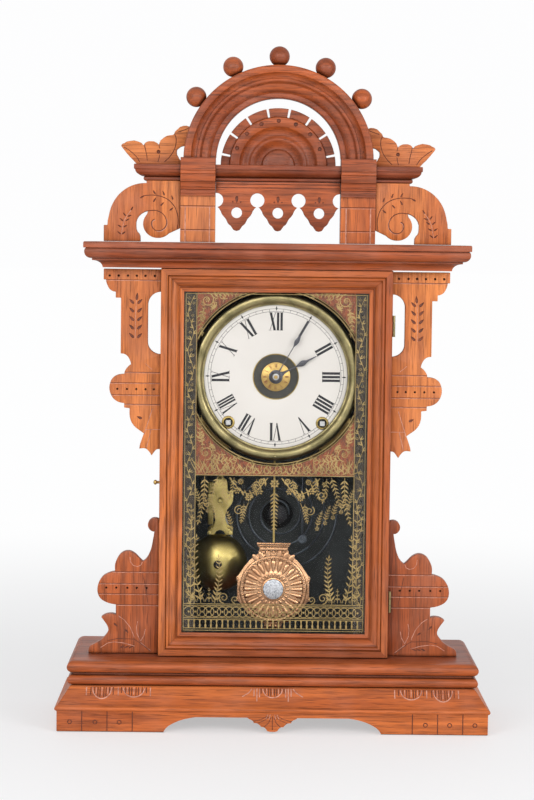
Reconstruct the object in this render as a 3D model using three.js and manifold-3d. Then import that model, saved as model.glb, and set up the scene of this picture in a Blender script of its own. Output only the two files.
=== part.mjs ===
// Carved walnut shelf clock with a glazed door, a pendulum, a coil gong and an alarm bell.
// Millimetres, +Z up. The front of the clock faces -Y. The origin is on the ground under
// the middle of the whole clock.
import * as THREE from "three";
import { mergeVertices } from "three/addons/utils/BufferGeometryUtils.js";
import Module from "manifold-3d";

const wasm = await Module();
wasm.setup();

// ---------------------------------------------------------------- driving dimensions

// Clearances
const glueGap = 0.3; // between two fixed pieces that meet
const pivotGap = 0.3; // round a turning arbor
const through = 2; // how far a cutter runs past what it cuts

// Case
const caseWidth = 203;
const caseHeight = 343.1; // from the plinth to the cornice
const caseDepth = 87;
const sideThickness = 9;
const backThickness = 7;

// Door
const doorThickness = 12;
const doorGap = 1.3; // behind the door, where the hinge leaves lie
const doorClearance = 0.4; // above and below the door
const doorFace = 20.2; // width of the frame, seen from the front
const glassThickness = 2;
const glassLap = 3; // how far the frame covers the edge of the glass
const knuckleRadius = 1.4;
const hingeLength = 18.7;
const hingeInset = 48.7; // from the door's end to the middle of the hinge
const catchDrop = 188.4; // from the door's top to the catch pin
const catchRadius = 2.2;

// Base and plinth
const baseHeight = 38.9;
const baseWall = 12;
const apronHeight = 13.7;
const footLength = 93.2;
const palmetteHalf = 21.8;
const palmetteLift = 1.4; // from the ground to the tip of the palmette
const plinthThickness = 21.2;
const plinthReach = 71.9; // from the side of the case to the flat edge of the plinth
const plinthFront = 19.2; // from the front of the door to that edge
const plinthBead = 6.6; // how far the round edge stands out from the flat edge
const baseStep = 14.6; // from the flat edge to the upright face of the base
const baseNose = 1.9; // how far the base's bead stands out from that face

// Cornice
const corniceHeight = 22.5;
const corniceReach = 51; // from the side of the case to the foot of the cornice
const corniceFlare = 15.9; // how far its top stands out from its foot
const corniceProud = 1.8; // how far its foot stands in front of the door
const corniceWall = 6.5;
const topThickness = 12;

// Posts, shelf and arch of the pediment
const postWidth = 30.5;
const postDepth = 22;
const postSetback = 8.3; // from the front of the door to the front of the posts
const postHeight = 40.8;
const capHeight = 33.1;
const shelfRise = 53.8; // from the cornice to the foot of the shelf
const shelfHeight = 14.3;
const shelfReach = 31.4; // from the side of a post to the end of the shelf
const shelfSetback = 6; // from the front of the posts to the front of the shelf
const shelfFlare = 9.3;
const shelfDepth = 26;
const archRadius = 83.2;
const archWidth = 28.4;
const archDepth = 23;
const archOverhang = 0.2; // how far the arch stands in over the opening between the posts
const archDrop = 2; // the arch's centre lies this far below the top of the caps
const ballCount = 5;
const ballRadius = 8.9;
const ballStep = 26.4; // degrees from one ball to the next
const ballFlat = 7.6; // from the middle of a ball to the flat it stands on
const fanRadius = 50.9;
const fanThickness = 9;
const fanSlots = 8;
const fanSlotDepth = 7.4;
const fanSlotWidth = 1.8;
const pendantBottom = 10.5; // from the cornice to the tips of the pendant board
const pendantShare = 0.658; // from one lobe to the next, as a share of the way to the post
const pendantHole = 4.7;
const pendantNotch = 6.2;
const boardThickness = 9; // brackets, shells and pendant board
const boardSetback = 4; // from the front of the posts to the front of those boards
const bracketDrop = 1.4; // gap between the cornice and the upper bracket

// Dial and hands
const dialDrop = 95.3; // from the cornice's foot to the middle of the dial
const dialRadius = 63.5;
const bezelWidth = 10.9;
const dialLap = 2.6; // how far the bezel covers the edge of the dial
const dialThickness = 0.8;
const dialSetback = 7.2; // from the front of the case sides to the face of the dial
const dialHole = 19.7;
const alarmDiscRadius = 12.8;
const minuteHandLength = 59.3;
const hourHandLength = 40.7;
const handThickness = 0.6;
const minuteAngle = 30; // degrees past twelve
const hourAngle = 62.5;

// Movement
const windingX = 41.7; // winding arbors, from the middle of the dial
const windingZ = -41;
const plateSetback = 10.2; // from the face of the dial to the front plate
const plateThickness = 1.6;
const plateSpace = 34; // between the two plates
const plateHalf = 56;
const plateTop = 46;
const plateBottom = -62;
const platePillarRadius = 3;
const arborRadius = 1.5;
const windingRadius = 2.6;
const trainModule = 0.7;
const secondModule = 0.88;
const motionModule = 0.8;
const greatTeeth = 72;
const secondPinionTeeth = 8;
const secondTeeth = 40;
const centreTeeth = 30;
const cannonTeeth = 10;
const minuteTeeth = 30;
const minutePinionTeeth = 8;
const hourTeeth = 32;
const escapeTeeth = 30;
const escapeRadius = 11;
const escapeRise = 16; // above the middle of the dial
const suspensionRise = 36;
const pendulumLength = 226.6; // from the suspension to the middle of the bob
const rodWidth = 1.6;
const rodSetback = 2.8; // from the middle of the rod to the front plate
const bobRadius = 30.2;
const bobThickness = 8;
const crownRise = 41.5; // from the middle of the bob to the top of its crown

// Gong, bell and alarm
const gongX = 4;
const gongHeight = 118; // above the plinth
const gongOuter = 54;
const gongInner = 10;
const gongTurns = 4;
const gongWire = 2.2;
const gongSetback = 13; // from the front of the gong to the backboard
const bellX = -50.2;
const bellHeight = 74.3;
const bellRadius = 26.4;
const bellDepth = 16;
const bellWall = 1.2;
const bellSetback = 37; // from the crown of the bell to the backboard
const alarmWidth = 23;
const alarmHeight = 51;
const alarmDepth = 25; // from one of its plates to the other
const alarmPlate = 1.2;
const alarmX = -48.4;
const alarmFoot = 102.5; // foot of the alarm's frame above the plinth

// ---------------------------------------------------------------- places worked out from them

const degree = Math.PI / 180;
const caseHalf = caseWidth / 2;
const overallDepth = caseDepth + doorGap + doorThickness + plinthFront + baseStep + baseNose;
const backY = overallDepth / 2;
const caseFront = backY - caseDepth;
const doorBack = caseFront - doorGap;
const doorFront = doorBack - doorThickness;
const edgeFront = doorFront - plinthFront; // flat edge of the plinth's top
const edgeHalf = caseHalf + plinthReach;
const plinthTop = baseHeight + glueGap + plinthThickness;
const corniceZ = plinthTop + caseHeight;
const corniceTop = corniceZ + corniceHeight;
const corniceFront = doorFront - corniceProud;
const corniceHalf = caseHalf + corniceReach;
const backboardFront = backY - backThickness;
const doorZ = [plinthTop + doorClearance, corniceZ - doorClearance];
const postFront = doorFront + postSetback;
const postBack = postFront + postDepth;
const postZ = corniceTop + glueGap;
const capZ = postZ + postHeight;
const capTop = capZ + capHeight;
const shelfZ = corniceTop + shelfRise;
const shelfTop = shelfZ + shelfHeight;
const shelfFront = postFront + shelfSetback;
const archZ = capTop - archDrop;
const archBack = postBack - 1;
const archInner = archRadius - archWidth;
const postInner = archInner + archOverhang;
const shelfHalf = postInner + postWidth + shelfReach;
const pendantPitch = postInner * pendantShare;
const archFront = archBack - archDepth;
const boardBack = postFront + boardSetback + boardThickness;
const shellFront = archBack + glueGap;
const dialZ = corniceZ - dialDrop;
const dialFront = caseFront + dialSetback;
const plateFront = dialFront + plateSetback;
const bezelRadius = dialRadius + bezelWidth;
const plateBack = plateFront + plateThickness;
const backPlateFront = plateBack + plateSpace;
const rodY = plateFront - rodSetback;
const hingeX = caseHalf + glueGap + knuckleRadius;
const hingeY = doorBack - 1;
const gongZ = plinthTop + gongHeight;
const gongFront = backboardFront - gongSetback;
const bellZ = plinthTop + bellHeight;
const bellFront = backboardFront - bellSetback;
const alarmZ = plinthTop + alarmFoot;

// ---------------------------------------------------------------- solids

// A closed geometry as a solid with its faces pointing out.
function solid(geometry) {
  geometry.deleteAttribute("normal");
  geometry.deleteAttribute("uv");
  const merged = mergeVertices(geometry, 1e-4);
  const vertProperties = new Float32Array(merged.attributes.position.array);
  const triVerts = new Uint32Array(merged.index.array);
  const make = () => new wasm.Manifold(new wasm.Mesh({ numProp: 3, vertProperties, triVerts }));
  const made = make();
  if (made.volume() >= 0) return made;
  for (let i = 0; i < triVerts.length; i += 3) {
    [triVerts[i + 1], triVerts[i + 2]] = [triVerts[i + 2], triVerts[i + 1]];
  }
  return make();
}

function join(...solids) {
  return solids.reduce((all, one) => all.add(one));
}

function cut(body, ...tools) {
  return tools.reduce((left, tool) => left.subtract(tool), body);
}

function box(x, y, z) {
  const size = new THREE.BoxGeometry(x[1] - x[0], y[1] - y[0], z[1] - z[0]);
  return solid(size.translate((x[0] + x[1]) / 2, (y[0] + y[1]) / 2, (z[0] + z[1]) / 2));
}

// A flat outline in X and Z with holes, as thick as y says.
function plate(outline, y, holes = []) {
  const shape = new THREE.Shape(outline.map(([x, z]) => new THREE.Vector2(x, z)));
  shape.holes = holes.map((hole) => new THREE.Path(hole.map(([x, z]) => new THREE.Vector2(x, z))));
  const flat = new THREE.ExtrudeGeometry(shape, { depth: y[1] - y[0], bevelEnabled: false });
  return solid(flat.rotateX(Math.PI / 2).translate(0, y[1], 0));
}

// Points on an arc, from one angle to another, both in degrees.
function arc(cx, cz, radius, from, to, steps, radiusZ = radius) {
  return Array.from({ length: steps + 1 }, (_, i) => {
    const angle = (from + ((to - from) * i) / steps) * degree;
    return [cx + radius * Math.cos(angle), cz + radiusZ * Math.sin(angle)];
  });
}

function circle(cx, cz, radius, steps = 20) {
  return arc(cx, cz, radius, 0, 360, steps).slice(0, -1);
}

// A profile of [radius, y] turned round an axis that runs front to back.
function turned(profile, x, z, steps = 24) {
  const points = profile.map(([radius, y]) => new THREE.Vector2(radius, y));
  return solid(new THREE.LatheGeometry(points, steps).translate(x, 0, z));
}

// A pin or arbor that runs front to back.
function pin(x, z, radius, y, steps = 16) {
  return turned([[0, y[0]], [radius, y[0]], [radius, y[1]], [0, y[1]]], x, z, steps);
}

// A tube that runs front to back.
function sleeve(x, z, inner, outer, y, steps = 20) {
  const profile = [[inner, y[0]], [outer, y[0]], [outer, y[1]], [inner, y[1]], [inner, y[0]]];
  return turned(profile, x, z, steps);
}

// A closed profile carried through stations; each station turns a profile point into a place.
// The profile of an open sweep runs anticlockwise.
function sweep(profile, stations, closed = false) {
  const positions = [];
  for (const place of stations) for (const point of profile) positions.push(...place(point));
  const count = profile.length;
  const index = [];
  const last = closed ? stations.length : stations.length - 1;
  for (let s = 0; s < last; s += 1) {
    const next = (s + 1) % stations.length;
    for (let i = 0; i < count; i += 1) {
      const j = (i + 1) % count;
      const [a, b, c, d] = [s * count + i, s * count + j, next * count + j, next * count + i];
      index.push(a, b, c, a, c, d);
    }
  }
  if (!closed) {
    const contour = profile.map(([u, v]) => new THREE.Vector2(u, v));
    const end = (stations.length - 1) * count;
    for (const [a, b, c] of THREE.ShapeUtils.triangulateShape(contour, [])) {
      index.push(a, c, b, end + a, end + b, end + c);
    }
  }
  return faceted(positions, index);
}

function faceted(positions, index) {
  const geometry = new THREE.BufferGeometry();
  geometry.setAttribute("position", new THREE.Float32BufferAttribute(positions, 3));
  geometry.setIndex(index);
  return solid(geometry);
}

// A stack of rectangles with moulded edges. Each level is [outset, z]; grow says how much of
// the outset goes to the left, right, front and back.
function stack(levels, x, y, grow) {
  const ring = ([out, z]) => [
    [x[0] - out * grow.left, y[0] - out * grow.front, z],
    [x[1] + out * grow.right, y[0] - out * grow.front, z],
    [x[1] + out * grow.right, y[1] + out * grow.back, z],
    [x[0] - out * grow.left, y[1] + out * grow.back, z],
  ];
  const index = [];
  const end = (levels.length - 1) * 4;
  for (let s = 0; s < end; s += 4) {
    for (let i = 0; i < 4; i += 1) {
      const j = (i + 1) % 4;
      index.push(s + i, s + j, s + 4 + j, s + i, s + 4 + j, s + 4 + i);
    }
  }
  index.push(0, 2, 1, 0, 3, 2, end, end + 1, end + 2, end, end + 2, end + 3);
  return faceted(levels.map(ring).flat(2), index);
}

// Half-round edge: levels that swell from one height to another.
function bullnose(inner, outer, z, steps = 6) {
  return Array.from({ length: steps + 1 }, (_, i) => {
    const angle = (i / steps - 0.5) * Math.PI;
    const middle = (z[0] + z[1]) / 2;
    return [
      inner + (outer - inner) * Math.cos(angle),
      middle + ((z[1] - z[0]) / 2) * Math.sin(angle),
    ];
  });
}

// The mirror image of an outline, left to right.
function mirrored(outline) {
  return outline.map(([x, z]) => [-x, z]).reverse();
}

// A round rod from one place to another.
function rod(from, to, radius) {
  const [start, end] = [new THREE.Vector3(...from), new THREE.Vector3(...to)];
  const along = end.clone().sub(start);
  const turn = new THREE.Quaternion();
  turn.setFromUnitVectors(new THREE.Vector3(0, 1, 0), along.clone().normalize());
  const bar = new THREE.CylinderGeometry(radius, radius, along.length(), 8).applyQuaternion(turn);
  return solid(bar.translate(...start.add(end).multiplyScalar(0.5).toArray()));
}

// An outline turned round an axis that runs left to right, or upright.
function lathed(profile, steps, upright = false) {
  const geometry = new THREE.LatheGeometry(profile.map(([r, h]) => new THREE.Vector2(r, h)), steps);
  return upright ? geometry.rotateX(Math.PI / 2) : geometry.rotateZ(Math.PI / 2);
}

// A toothed wheel round a front-to-back axis; a tooth stands at the angle called phase.
// The teeth are thin, so that they run with play.
function gear(x, z, teeth, module, y, phase, bore = 0) {
  const pitch = (teeth * module) / 2;
  const step = 360 / teeth;
  const outline = [];
  for (let i = 0; i < teeth; i += 1) {
    const angle = phase + i * step;
    const corners = [[-0.3, pitch - 1.2 * module], [-0.12, pitch + 0.75 * module]];
    for (const [turn, radius] of [...corners, ...corners.map(([t, r]) => [-t, r]).reverse()]) {
      outline.push(...arc(x, z, radius, angle + turn * step, angle, 1).slice(0, 1));
    }
  }
  return plate(outline, y, bore ? [circle(x, z, bore, 14)] : []);
}

// The phase that lets a wheel's gap take the tooth of its partner, which stands at toothAngle
// on the line of centres; the angle is the direction from the wheel to the partner.
function meshing(teeth, angle) {
  return angle + 180 / teeth;
}

// ---------------------------------------------------------------- materials

function finish(colour, roughness, metalness) {
  return new THREE.MeshStandardMaterial({ color: colour, roughness, metalness });
}

const walnut = () => finish(0xb25c34, 0.42, 0);
const darkWalnut = () => finish(0x8c4526, 0.42, 0);
const paleWalnut = () => finish(0xcd8548, 0.45, 0);
const pine = () => finish(0xb98a58, 0.7, 0);
const brass = () => finish(0xb08d45, 0.3, 1);
const oldBrass = () => finish(0x7d7442, 0.4, 1);
const copperGilt = () => finish(0xc0885a, 0.3, 1);
const steel = () => finish(0x8b8d90, 0.35, 1);
const blackSteel = () => finish(0x23252a, 0.35, 1);
const castIron = () => finish(0x2b2b2d, 0.6, 0.6);
const dialWhite = () => finish(0xf2efe6, 0.5, 0);
const stencilledGlass = () => finish(0x3a2c22, 0.1, 0);

const clock = new THREE.Group();

function add(name, body, material) {
  const mesh = body.getMesh();
  const geometry = new THREE.BufferGeometry();
  const places = new Float32Array(mesh.vertProperties);
  geometry.setAttribute("position", new THREE.BufferAttribute(places, 3));
  geometry.setIndex(new THREE.BufferAttribute(new Uint32Array(mesh.triVerts), 1));
  geometry.computeVertexNormals();
  const node = new THREE.Mesh(geometry, material);
  node.name = name;
  clock.add(node);
}

// ---------------------------------------------------------------- base and plinth

// Section of the base boards: outset from the plinth's flat edge, and height.
const baseSection = [
  [baseStep, 0],
  [baseStep, 18],
  [baseStep + baseNose, 18.8],
  [baseStep + baseNose, 21.2],
  [baseStep, 22.4],
  [3.1, baseHeight],
  [-8, baseHeight],
  [-8, 30],
  [baseStep - baseWall, 22],
  [baseStep - baseWall, 0],
];

// The ogee end of a foot, from the ground up to the apron; side is -1 or 1.
function footEnd(side) {
  const foot = edgeHalf + baseStep - footLength;
  const steps = [[0, -1], [0, 0.4], [1, 2.2], [4.5, 5.8], [9.4, 8.6], [18, 11.8], [28, apronHeight]];
  return steps.map(([inward, z]) => [side * (foot - inward), z]);
}

// Half of the palmette's lobed edge, from the apron down to its tip.
function palmetteEdge(side) {
  const half = palmetteHalf;
  const drop = apronHeight - palmetteLift;
  const lobes = [[1, 1], [0.84, 0.86], [0.74, 0.62], [0.58, 0.6], [0.44, 0.36], [0.3, 0.3], [0.2, 0.06]];
  return lobes.map(([x, z]) => [side * half * x, palmetteLift + drop * z]);
}

function apronCut(side) {
  const outline = [...footEnd(side), ...palmetteEdge(side), [0, palmetteLift], [0, -1]];
  return plate(outline, [-overallDepth, backY]);
}

function baseBoards() {
  const left = ([out, z]) => [-edgeHalf - out, edgeFront - out, z];
  const right = ([out, z]) => [edgeHalf + out, edgeFront - out, z];
  const back = (side) => ([out, z]) => [side * (edgeHalf + out), backY, z];
  const shy = (place, dx, dy) => (point) => {
    const [x, y, z] = place(point);
    return [x + dx, y + dy, z];
  };
  const front = sweep(baseSection, [shy(left, glueGap, 0), shy(right, -glueGap, 0)]);
  add("base_front_board", cut(front, apronCut(-1), apronCut(1)), walnut());
  add("base_side_left", sweep(baseSection, [shy(left, 0, glueGap), back(-1)]), walnut());
  add("base_side_right", sweep(baseSection, [shy(right, 0, glueGap), back(1)]), walnut());
}

function plinthBoard() {
  const foot = baseHeight + glueGap;
  const groove = foot + 8.7;
  const levels = [
    ...bullnose(1.6, plinthBead - 0.4, [foot, groove]),
    ...bullnose(0, plinthBead, [groove + 1.4, plinthTop], 8),
  ];
  const grow = { left: 1, right: 1, front: 1, back: 0 };
  add("plinth_board", stack(levels, [-edgeHalf, edgeHalf], [edgeFront, backY], grow), walnut());
}

// ---------------------------------------------------------------- case

function caseShell() {
  const z = [plinthTop + glueGap, corniceTop - topThickness - glueGap];
  const y = [caseFront, backY];
  const inner = caseHalf - sideThickness;
  add("case_side_left", box([-caseHalf, -inner], y, z), walnut());
  add("case_side_right", box([inner, caseHalf], y, z), walnut());
  const half = inner - glueGap;
  add("backboard", box([-half, half], [backboardFront, backY], z), pine());
}

// Section of the cornice: outset from its foot, and height above its foot.
function corniceSection() {
  const cove = arc(8.4, 0, 8.4, 180, 90, 5, 6.2);
  const ovolo = arc(9.4, 13.8, 5.7, -90, 28, 6, 5.8);
  const quirk = [[13.9, 16.6], [13.9, 17.1]];
  const fascia = [[corniceFlare, 17.1], [corniceFlare, corniceHeight]];
  const back = [[-corniceWall, corniceHeight], [-corniceWall, 0]];
  return [...cove, [8.6, 7.8], ...ovolo, ...quirk, ...fascia, ...back];
}

function cornice() {
  const place = (sideX, y) => ([out, z]) => {
    const front = y === undefined ? corniceFront - out : y;
    return [sideX * (corniceHalf + out), front, corniceZ + z];
  };
  const stations = [place(-1, backY), place(-1), place(1), place(1, backY)];
  add("cornice_moulding", sweep(corniceSection(), stations), darkWalnut());
  const half = corniceHalf - corniceWall - glueGap;
  const y = [corniceFront + corniceWall + glueGap, backY];
  add("case_top_board", box([-half, half], y, [corniceTop - topThickness, corniceTop]), darkWalnut());
}

// ---------------------------------------------------------------- pediment

// Levels of a post with its cap: outset at the front, and height.
function postLevels() {
  const cap = (fraction) => capZ + capHeight * fraction;
  return [
    [0, postZ],
    [0, capZ],
    [1.9, cap(0.006)],
    [1.9, cap(0.085)],
    [1.2, cap(0.097)],
    [1.2, cap(0.157)],
    [3, cap(0.17)],
    [3, cap(0.218)],
    [1.9, cap(0.227)],
    [2.4, cap(0.26)],
    [3.6, cap(0.31)],
    [5.2, cap(0.372)],
    [5.2, cap(0.577)],
    [6.6, cap(0.589)],
    [6.6, cap(0.644)],
    [5.6, cap(0.665)],
    [5.6, capTop],
  ];
}

function posts() {
  const grow = { left: 0, right: 0, front: 1, back: 0 };
  const y = [postFront, postBack];
  for (const [name, side] of [["post_left", -1], ["post_right", 1]]) {
    const x = [side * postInner, side * (postInner + postWidth)].sort((a, b) => a - b);
    add(name, stack(postLevels(), x, y, grow), paleWalnut());
  }
}

function shelf() {
  const rise = (z) => shelfZ + z;
  const ovolo = arc(0, 9.6, 8.3, -85, 0, 5, 5.7).map(([out, z]) => [out, rise(z)]);
  const levels = [
    ...bullnose(0, 1.2, [rise(0), rise(3.6)], 4),
    [0, rise(3.8)],
    ...ovolo,
    [shelfFlare, rise(10.1)],
    [shelfFlare, shelfTop],
  ];
  const y = [shelfFront, shelfFront + shelfDepth];
  const grow = { left: 1, right: 1, front: 1, back: 0 };
  const body = stack(levels, [-shelfHalf, shelfHalf], y, grow);
  const notch = (side) => {
    const ends = [postInner - glueGap, postInner + postWidth + glueGap].map((x) => side * x);
    const x = ends.sort((a, b) => a - b);
    return box(x, [postFront - 20, postBack + glueGap], [shelfZ - through, shelfTop + through]);
  };
  add("entablature_shelf", cut(body, notch(-1), notch(1)), darkWalnut());
}

// Section of the arch: radius, and distance in front of its back.
function archSection() {
  return [
    [archRadius, 0],
    [archRadius, archDepth - 0.8],
    [archRadius - 0.8, archDepth],
    [archRadius - 6.4, archDepth],
    [archRadius - 8, archDepth - 3.4],
    [archRadius - 11.2, archDepth - 5.8],
    [archRadius - 14.4, archDepth - 5.2],
    [archRadius - 16, archDepth - 5.6],
    [archRadius - 20.4, archDepth - 6.4],
    [archRadius - 23.6, archDepth - 8.6],
    [archInner + 3, archDepth - 9.4],
    [archInner, archDepth - 9.8],
    [archInner, 0],
  ];
}

function arch() {
  const steps = 26;
  const reach = 5; // degrees below the centre, cut off level at the caps
  const stations = Array.from({ length: steps + 1 }, (_, i) => {
    const angle = (-reach + ((180 + 2 * reach) * i) / steps) * degree;
    return ([radius, depth]) => [
      radius * Math.cos(angle),
      archBack - depth,
      archZ + radius * Math.sin(angle),
    ];
  });
  const foot = [archZ - archRadius, capTop + glueGap];
  const under = box([-archRadius * 2, archRadius * 2], [-overallDepth, backY], foot);
  add("arch_moulding", cut(sweep(archSection(), stations), under), darkWalnut());
}

// A ball stands on a flat and points away from the arch's centre.
function balls() {
  const flat = Math.acos(ballFlat / ballRadius) / degree;
  const away = archRadius + glueGap + ballFlat;
  const round = arc(0, 0, ballRadius, flat - 90, 90, 8).slice(0, -1);
  const profile = [[0, -ballFlat], ...round, [0, ballRadius]];
  for (let i = 0; i < ballCount; i += 1) {
    const turn = ((ballCount - 1) / 2 - i) * ballStep * degree;
    const geometry = lathed(profile, 14, true).translate(0, 0, away).rotateY(-turn);
    geometry.translate(0, (archFront + archBack) / 2, archZ);
    add("ball_finial_" + (i + 1), solid(geometry), darkWalnut());
  }
}

function fan() {
  const back = shellFront + fanThickness;
  const z = shelfTop + glueGap;
  const ahead = (depth) => back - depth;
  const profile = [
    [0, back],
    [fanRadius, back],
    [fanRadius, ahead(6)],
    [fanRadius - fanSlotDepth, ahead(6)],
    [fanRadius - fanSlotDepth - 1, ahead(fanThickness)],
    [34.5, ahead(fanThickness)],
    [33, ahead(7.4)],
    [27, ahead(5)],
    [25, ahead(6.6)],
    [22, ahead(6.6)],
    [16.8, ahead(3.6)],
    [14.9, ahead(3.6)],
    [14, ahead(6)],
    [8, ahead(7.4)],
    [0, ahead(8)],
  ];
  const full = turned(profile, 0, z, 40);
  const under = box([-fanRadius * 2, fanRadius * 2], [-overallDepth, backY], [z - fanRadius * 2, z]);
  const slots = Array.from({ length: fanSlots }, (_, i) => {
    const angle = (180 * (i + 0.5)) / fanSlots;
    const half = fanSlotWidth / 2;
    const reach = [fanRadius - fanSlotDepth, fanRadius + through];
    const outline = [[reach[0], -half], [reach[1], -half], [reach[1], half], [reach[0], half]];
    const turn = (point) => {
      const [c, s] = [Math.cos(angle * degree), Math.sin(angle * degree)];
      return [point[0] * c - point[1] * s, z + point[0] * s + point[1] * c];
    };
    return plate(outline.map(turn), [ahead(fanThickness) - through, back + through]);
  });
  add("fan_rosette", cut(full, under, ...slots), darkWalnut());
}

// Half of a lobe of the pendant board: share of the way to the next lobe, and height.
const lobe = [
  [0, 0],
  [0.14, 0.6],
  [0.28, 4.4],
  [0.42, 6.6],
  [0.53, 10.6],
  [0.68, 13.6],
  [0.78, 17.4],
  [0.94, 21],
];

function pendantBoard() {
  const top = shelfZ - glueGap;
  const tip = corniceTop + pendantBottom;
  const half = postInner - glueGap;
  const shoulder = tip + 21;
  const edge = (centre, side) => {
    return lobe.map(([x, z]) => [centre + side * (pendantPitch / 2) * x, tip + z]);
  };
  const outline = [[-half, top], [-half, shoulder]];
  for (const centre of [-pendantPitch, 0, pendantPitch]) {
    outline.push(...edge(centre, -1).reverse(), ...edge(centre, 1).slice(1));
  }
  outline.push([half, shoulder], [half, top]);
  const y = [boardBack - boardThickness, boardBack];
  const holes = [-1, 0, 1].map((k) => circle(k * pendantPitch, tip + 16, pendantHole, 14));
  const notches = [-1.5, -0.5, 0.5, 1.5].map((k) => {
    return pin(k * pendantPitch, tip + 27, pendantNotch, [y[0] - through, y[1] + through], 16);
  });
  add("pendant_board", cut(plate(outline, y, holes), ...notches), darkWalnut());
}

// Scroll beside a post: distance out from the post, and height above the cornice.
function scrollOutline() {
  const top = shelfRise - glueGap;
  const back = arc(31, 18, 32, 92, 12, 8, 33.2);
  const hollow = [[34.9, 0], [35.1, 5], [37.8, 8.8], [38.8, 13.8], [37.9, 19.9], [34, 24.4], [28.5, 26.7]];
  const volute = arc(19.8, 15.6, 12.9, 42, -138, 9, 12.4);
  const points = [[glueGap, top], [30, top], ...back, [64, 14], [67.2, 14], [67.2, 0], ...hollow, ...volute];
  return [...points, [glueGap, 12]];
}

function scrollBrackets() {
  const y = [boardBack - boardThickness, boardBack];
  const outer = postInner + postWidth;
  const right = scrollOutline().map(([out, rise]) => [outer + out, corniceTop + glueGap + rise]);
  add("scroll_bracket_right", plate(right, y), walnut());
  add("scroll_bracket_left", plate(mirrored(right), y), walnut());
}

// Shell on the shelf: distance from the middle of the clock beyond the arch's inner edge,
// and height above the shelf.
function shellOutline() {
  const lobes = [
    [71.2, 1],
    [76, 6],
    [84.2, 15.9],
    [81.4, 18.4],
    [76.4, 20.4],
    [69, 20],
    [64.3, 16.6],
    [61.6, 19.8],
    [57.5, 20.4],
    [53.6, 19.6],
    [51, 17.2],
    [46.6, 23.6],
    [40.9, 25.9],
    [37.8, 26.4],
    [34.6, 31],
    [29.4, 34.2],
    [24, 33.6],
    [20, 30],
    [20, 12],
    [28.5, 16.6],
    [33.4, 14.4],
    [35, 11.4],
    [33.6, 7],
    [31, 3.6],
    [31, 0],
    [69.8, 0],
  ];
  return lobes.map(([x, z]) => [archInner + x, shelfTop + glueGap + z]);
}

function shells() {
  const y = [shellFront, shellFront + boardThickness];
  add("shell_right", plate(shellOutline(), y), paleWalnut());
  add("shell_left", plate(mirrored(shellOutline()), y), paleWalnut());
}

// ---------------------------------------------------------------- side brackets

// Upper bracket: distance out from the case, and drop below the cornice.
function upperBracket() {
  const outline = [
    [51, bracketDrop],
    [51, 10.9],
    [49, 10.9],
    [47.6, 16],
    [44.4, 20.4],
    [40.3, 21.6],
    [40.3, 26.8],
    [35.6, 26.8],
    [35.6, 75.9],
    [31.5, 76.6],
    [28.2, 80],
    [26.4, 85.4],
    [30, 88.4],
    [32.2, 92.4],
    [32.2, 94],
    [38.6, 94.6],
    [43.8, 98.2],
    [46, 106.9],
    [43, 115],
    [37.6, 119],
    [32.2, 119.8],
    [32.2, 123.7],
    [27.4, 124.2],
    [27.2, 132],
    [24.4, 138.6],
    [18.6, 143.6],
    [14.6, 146.4],
    [16.6, 152],
    [18.6, 160],
    [12.2, 160],
    [7.6, 166],
    [3.2, 160.2],
    [glueGap, 160.2],
    [glueGap, 77],
    ...arc(glueGap, 65.6, 11.6, 90, 0, 4, 10.7),
    ...arc(glueGap, 32.8, 11.6, 0, -90, 4, 11.6),
    [glueGap, bracketDrop],
  ];
  return outline.map(([out, drop]) => [caseHalf + out, corniceZ - drop]);
}

// Lower bracket: distance out from the case, and height above the plinth.
function lowerBracket() {
  const outline = [
    [glueGap, glueGap],
    [62.4, glueGap],
    [61.4, 6.3],
    [54.3, 9.9],
    [48.6, 14.4],
    [44.6, 20.4],
    [47, 27],
    [51.2, 32.6],
    [43.4, 35.6],
    [38.3, 34.7],
    [38.3, 43.9],
    [48.1, 46.4],
    [53.4, 51],
    [54.8, 58.6],
    [52, 66.6],
    [46.3, 71.3],
    [39.1, 73.3],
    [39.3, 80],
    [36, 87.4],
    [31.8, 91],
    [26.4, 91.8],
    [20.6, 88.6],
    [14.7, 82.6],
    [10.6, 86.4],
    [7.4, 94],
    [6, 101],
    [4.6, 109.6],
    ...arc(4.2, 115.4, 6.2, -78, 130, 9),
    [glueGap, 119.6],
  ];
  return outline.map(([out, rise]) => [caseHalf + out, plinthTop + rise]);
}

function sideBrackets() {
  const y = [caseFront, caseFront + boardThickness];
  for (const [name, outline] of [["upper_bracket", upperBracket()], ["lower_bracket", lowerBracket()]]) {
    add(name + "_right", plate(outline, y), walnut());
    add(name + "_left", plate(mirrored(outline), y), walnut());
  }
}

// ---------------------------------------------------------------- door

// Section of the door frame: distance in from its edge, and distance in front of its back.
const doorSection = [
  [0, 0],
  [0, doorThickness],
  [6, doorThickness],
  [6.4, 11],
  [8, 11.6],
  [9.4, 10.6],
  [10, 8.6],
  [12.4, 8.2],
  [15, 6.6],
  [16, 5],
  [17.2, 6],
  [doorFace, 5.4],
  [doorFace, 4],
  [doorFace - glassLap, 4],
  [doorFace - glassLap, 0],
];

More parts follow.
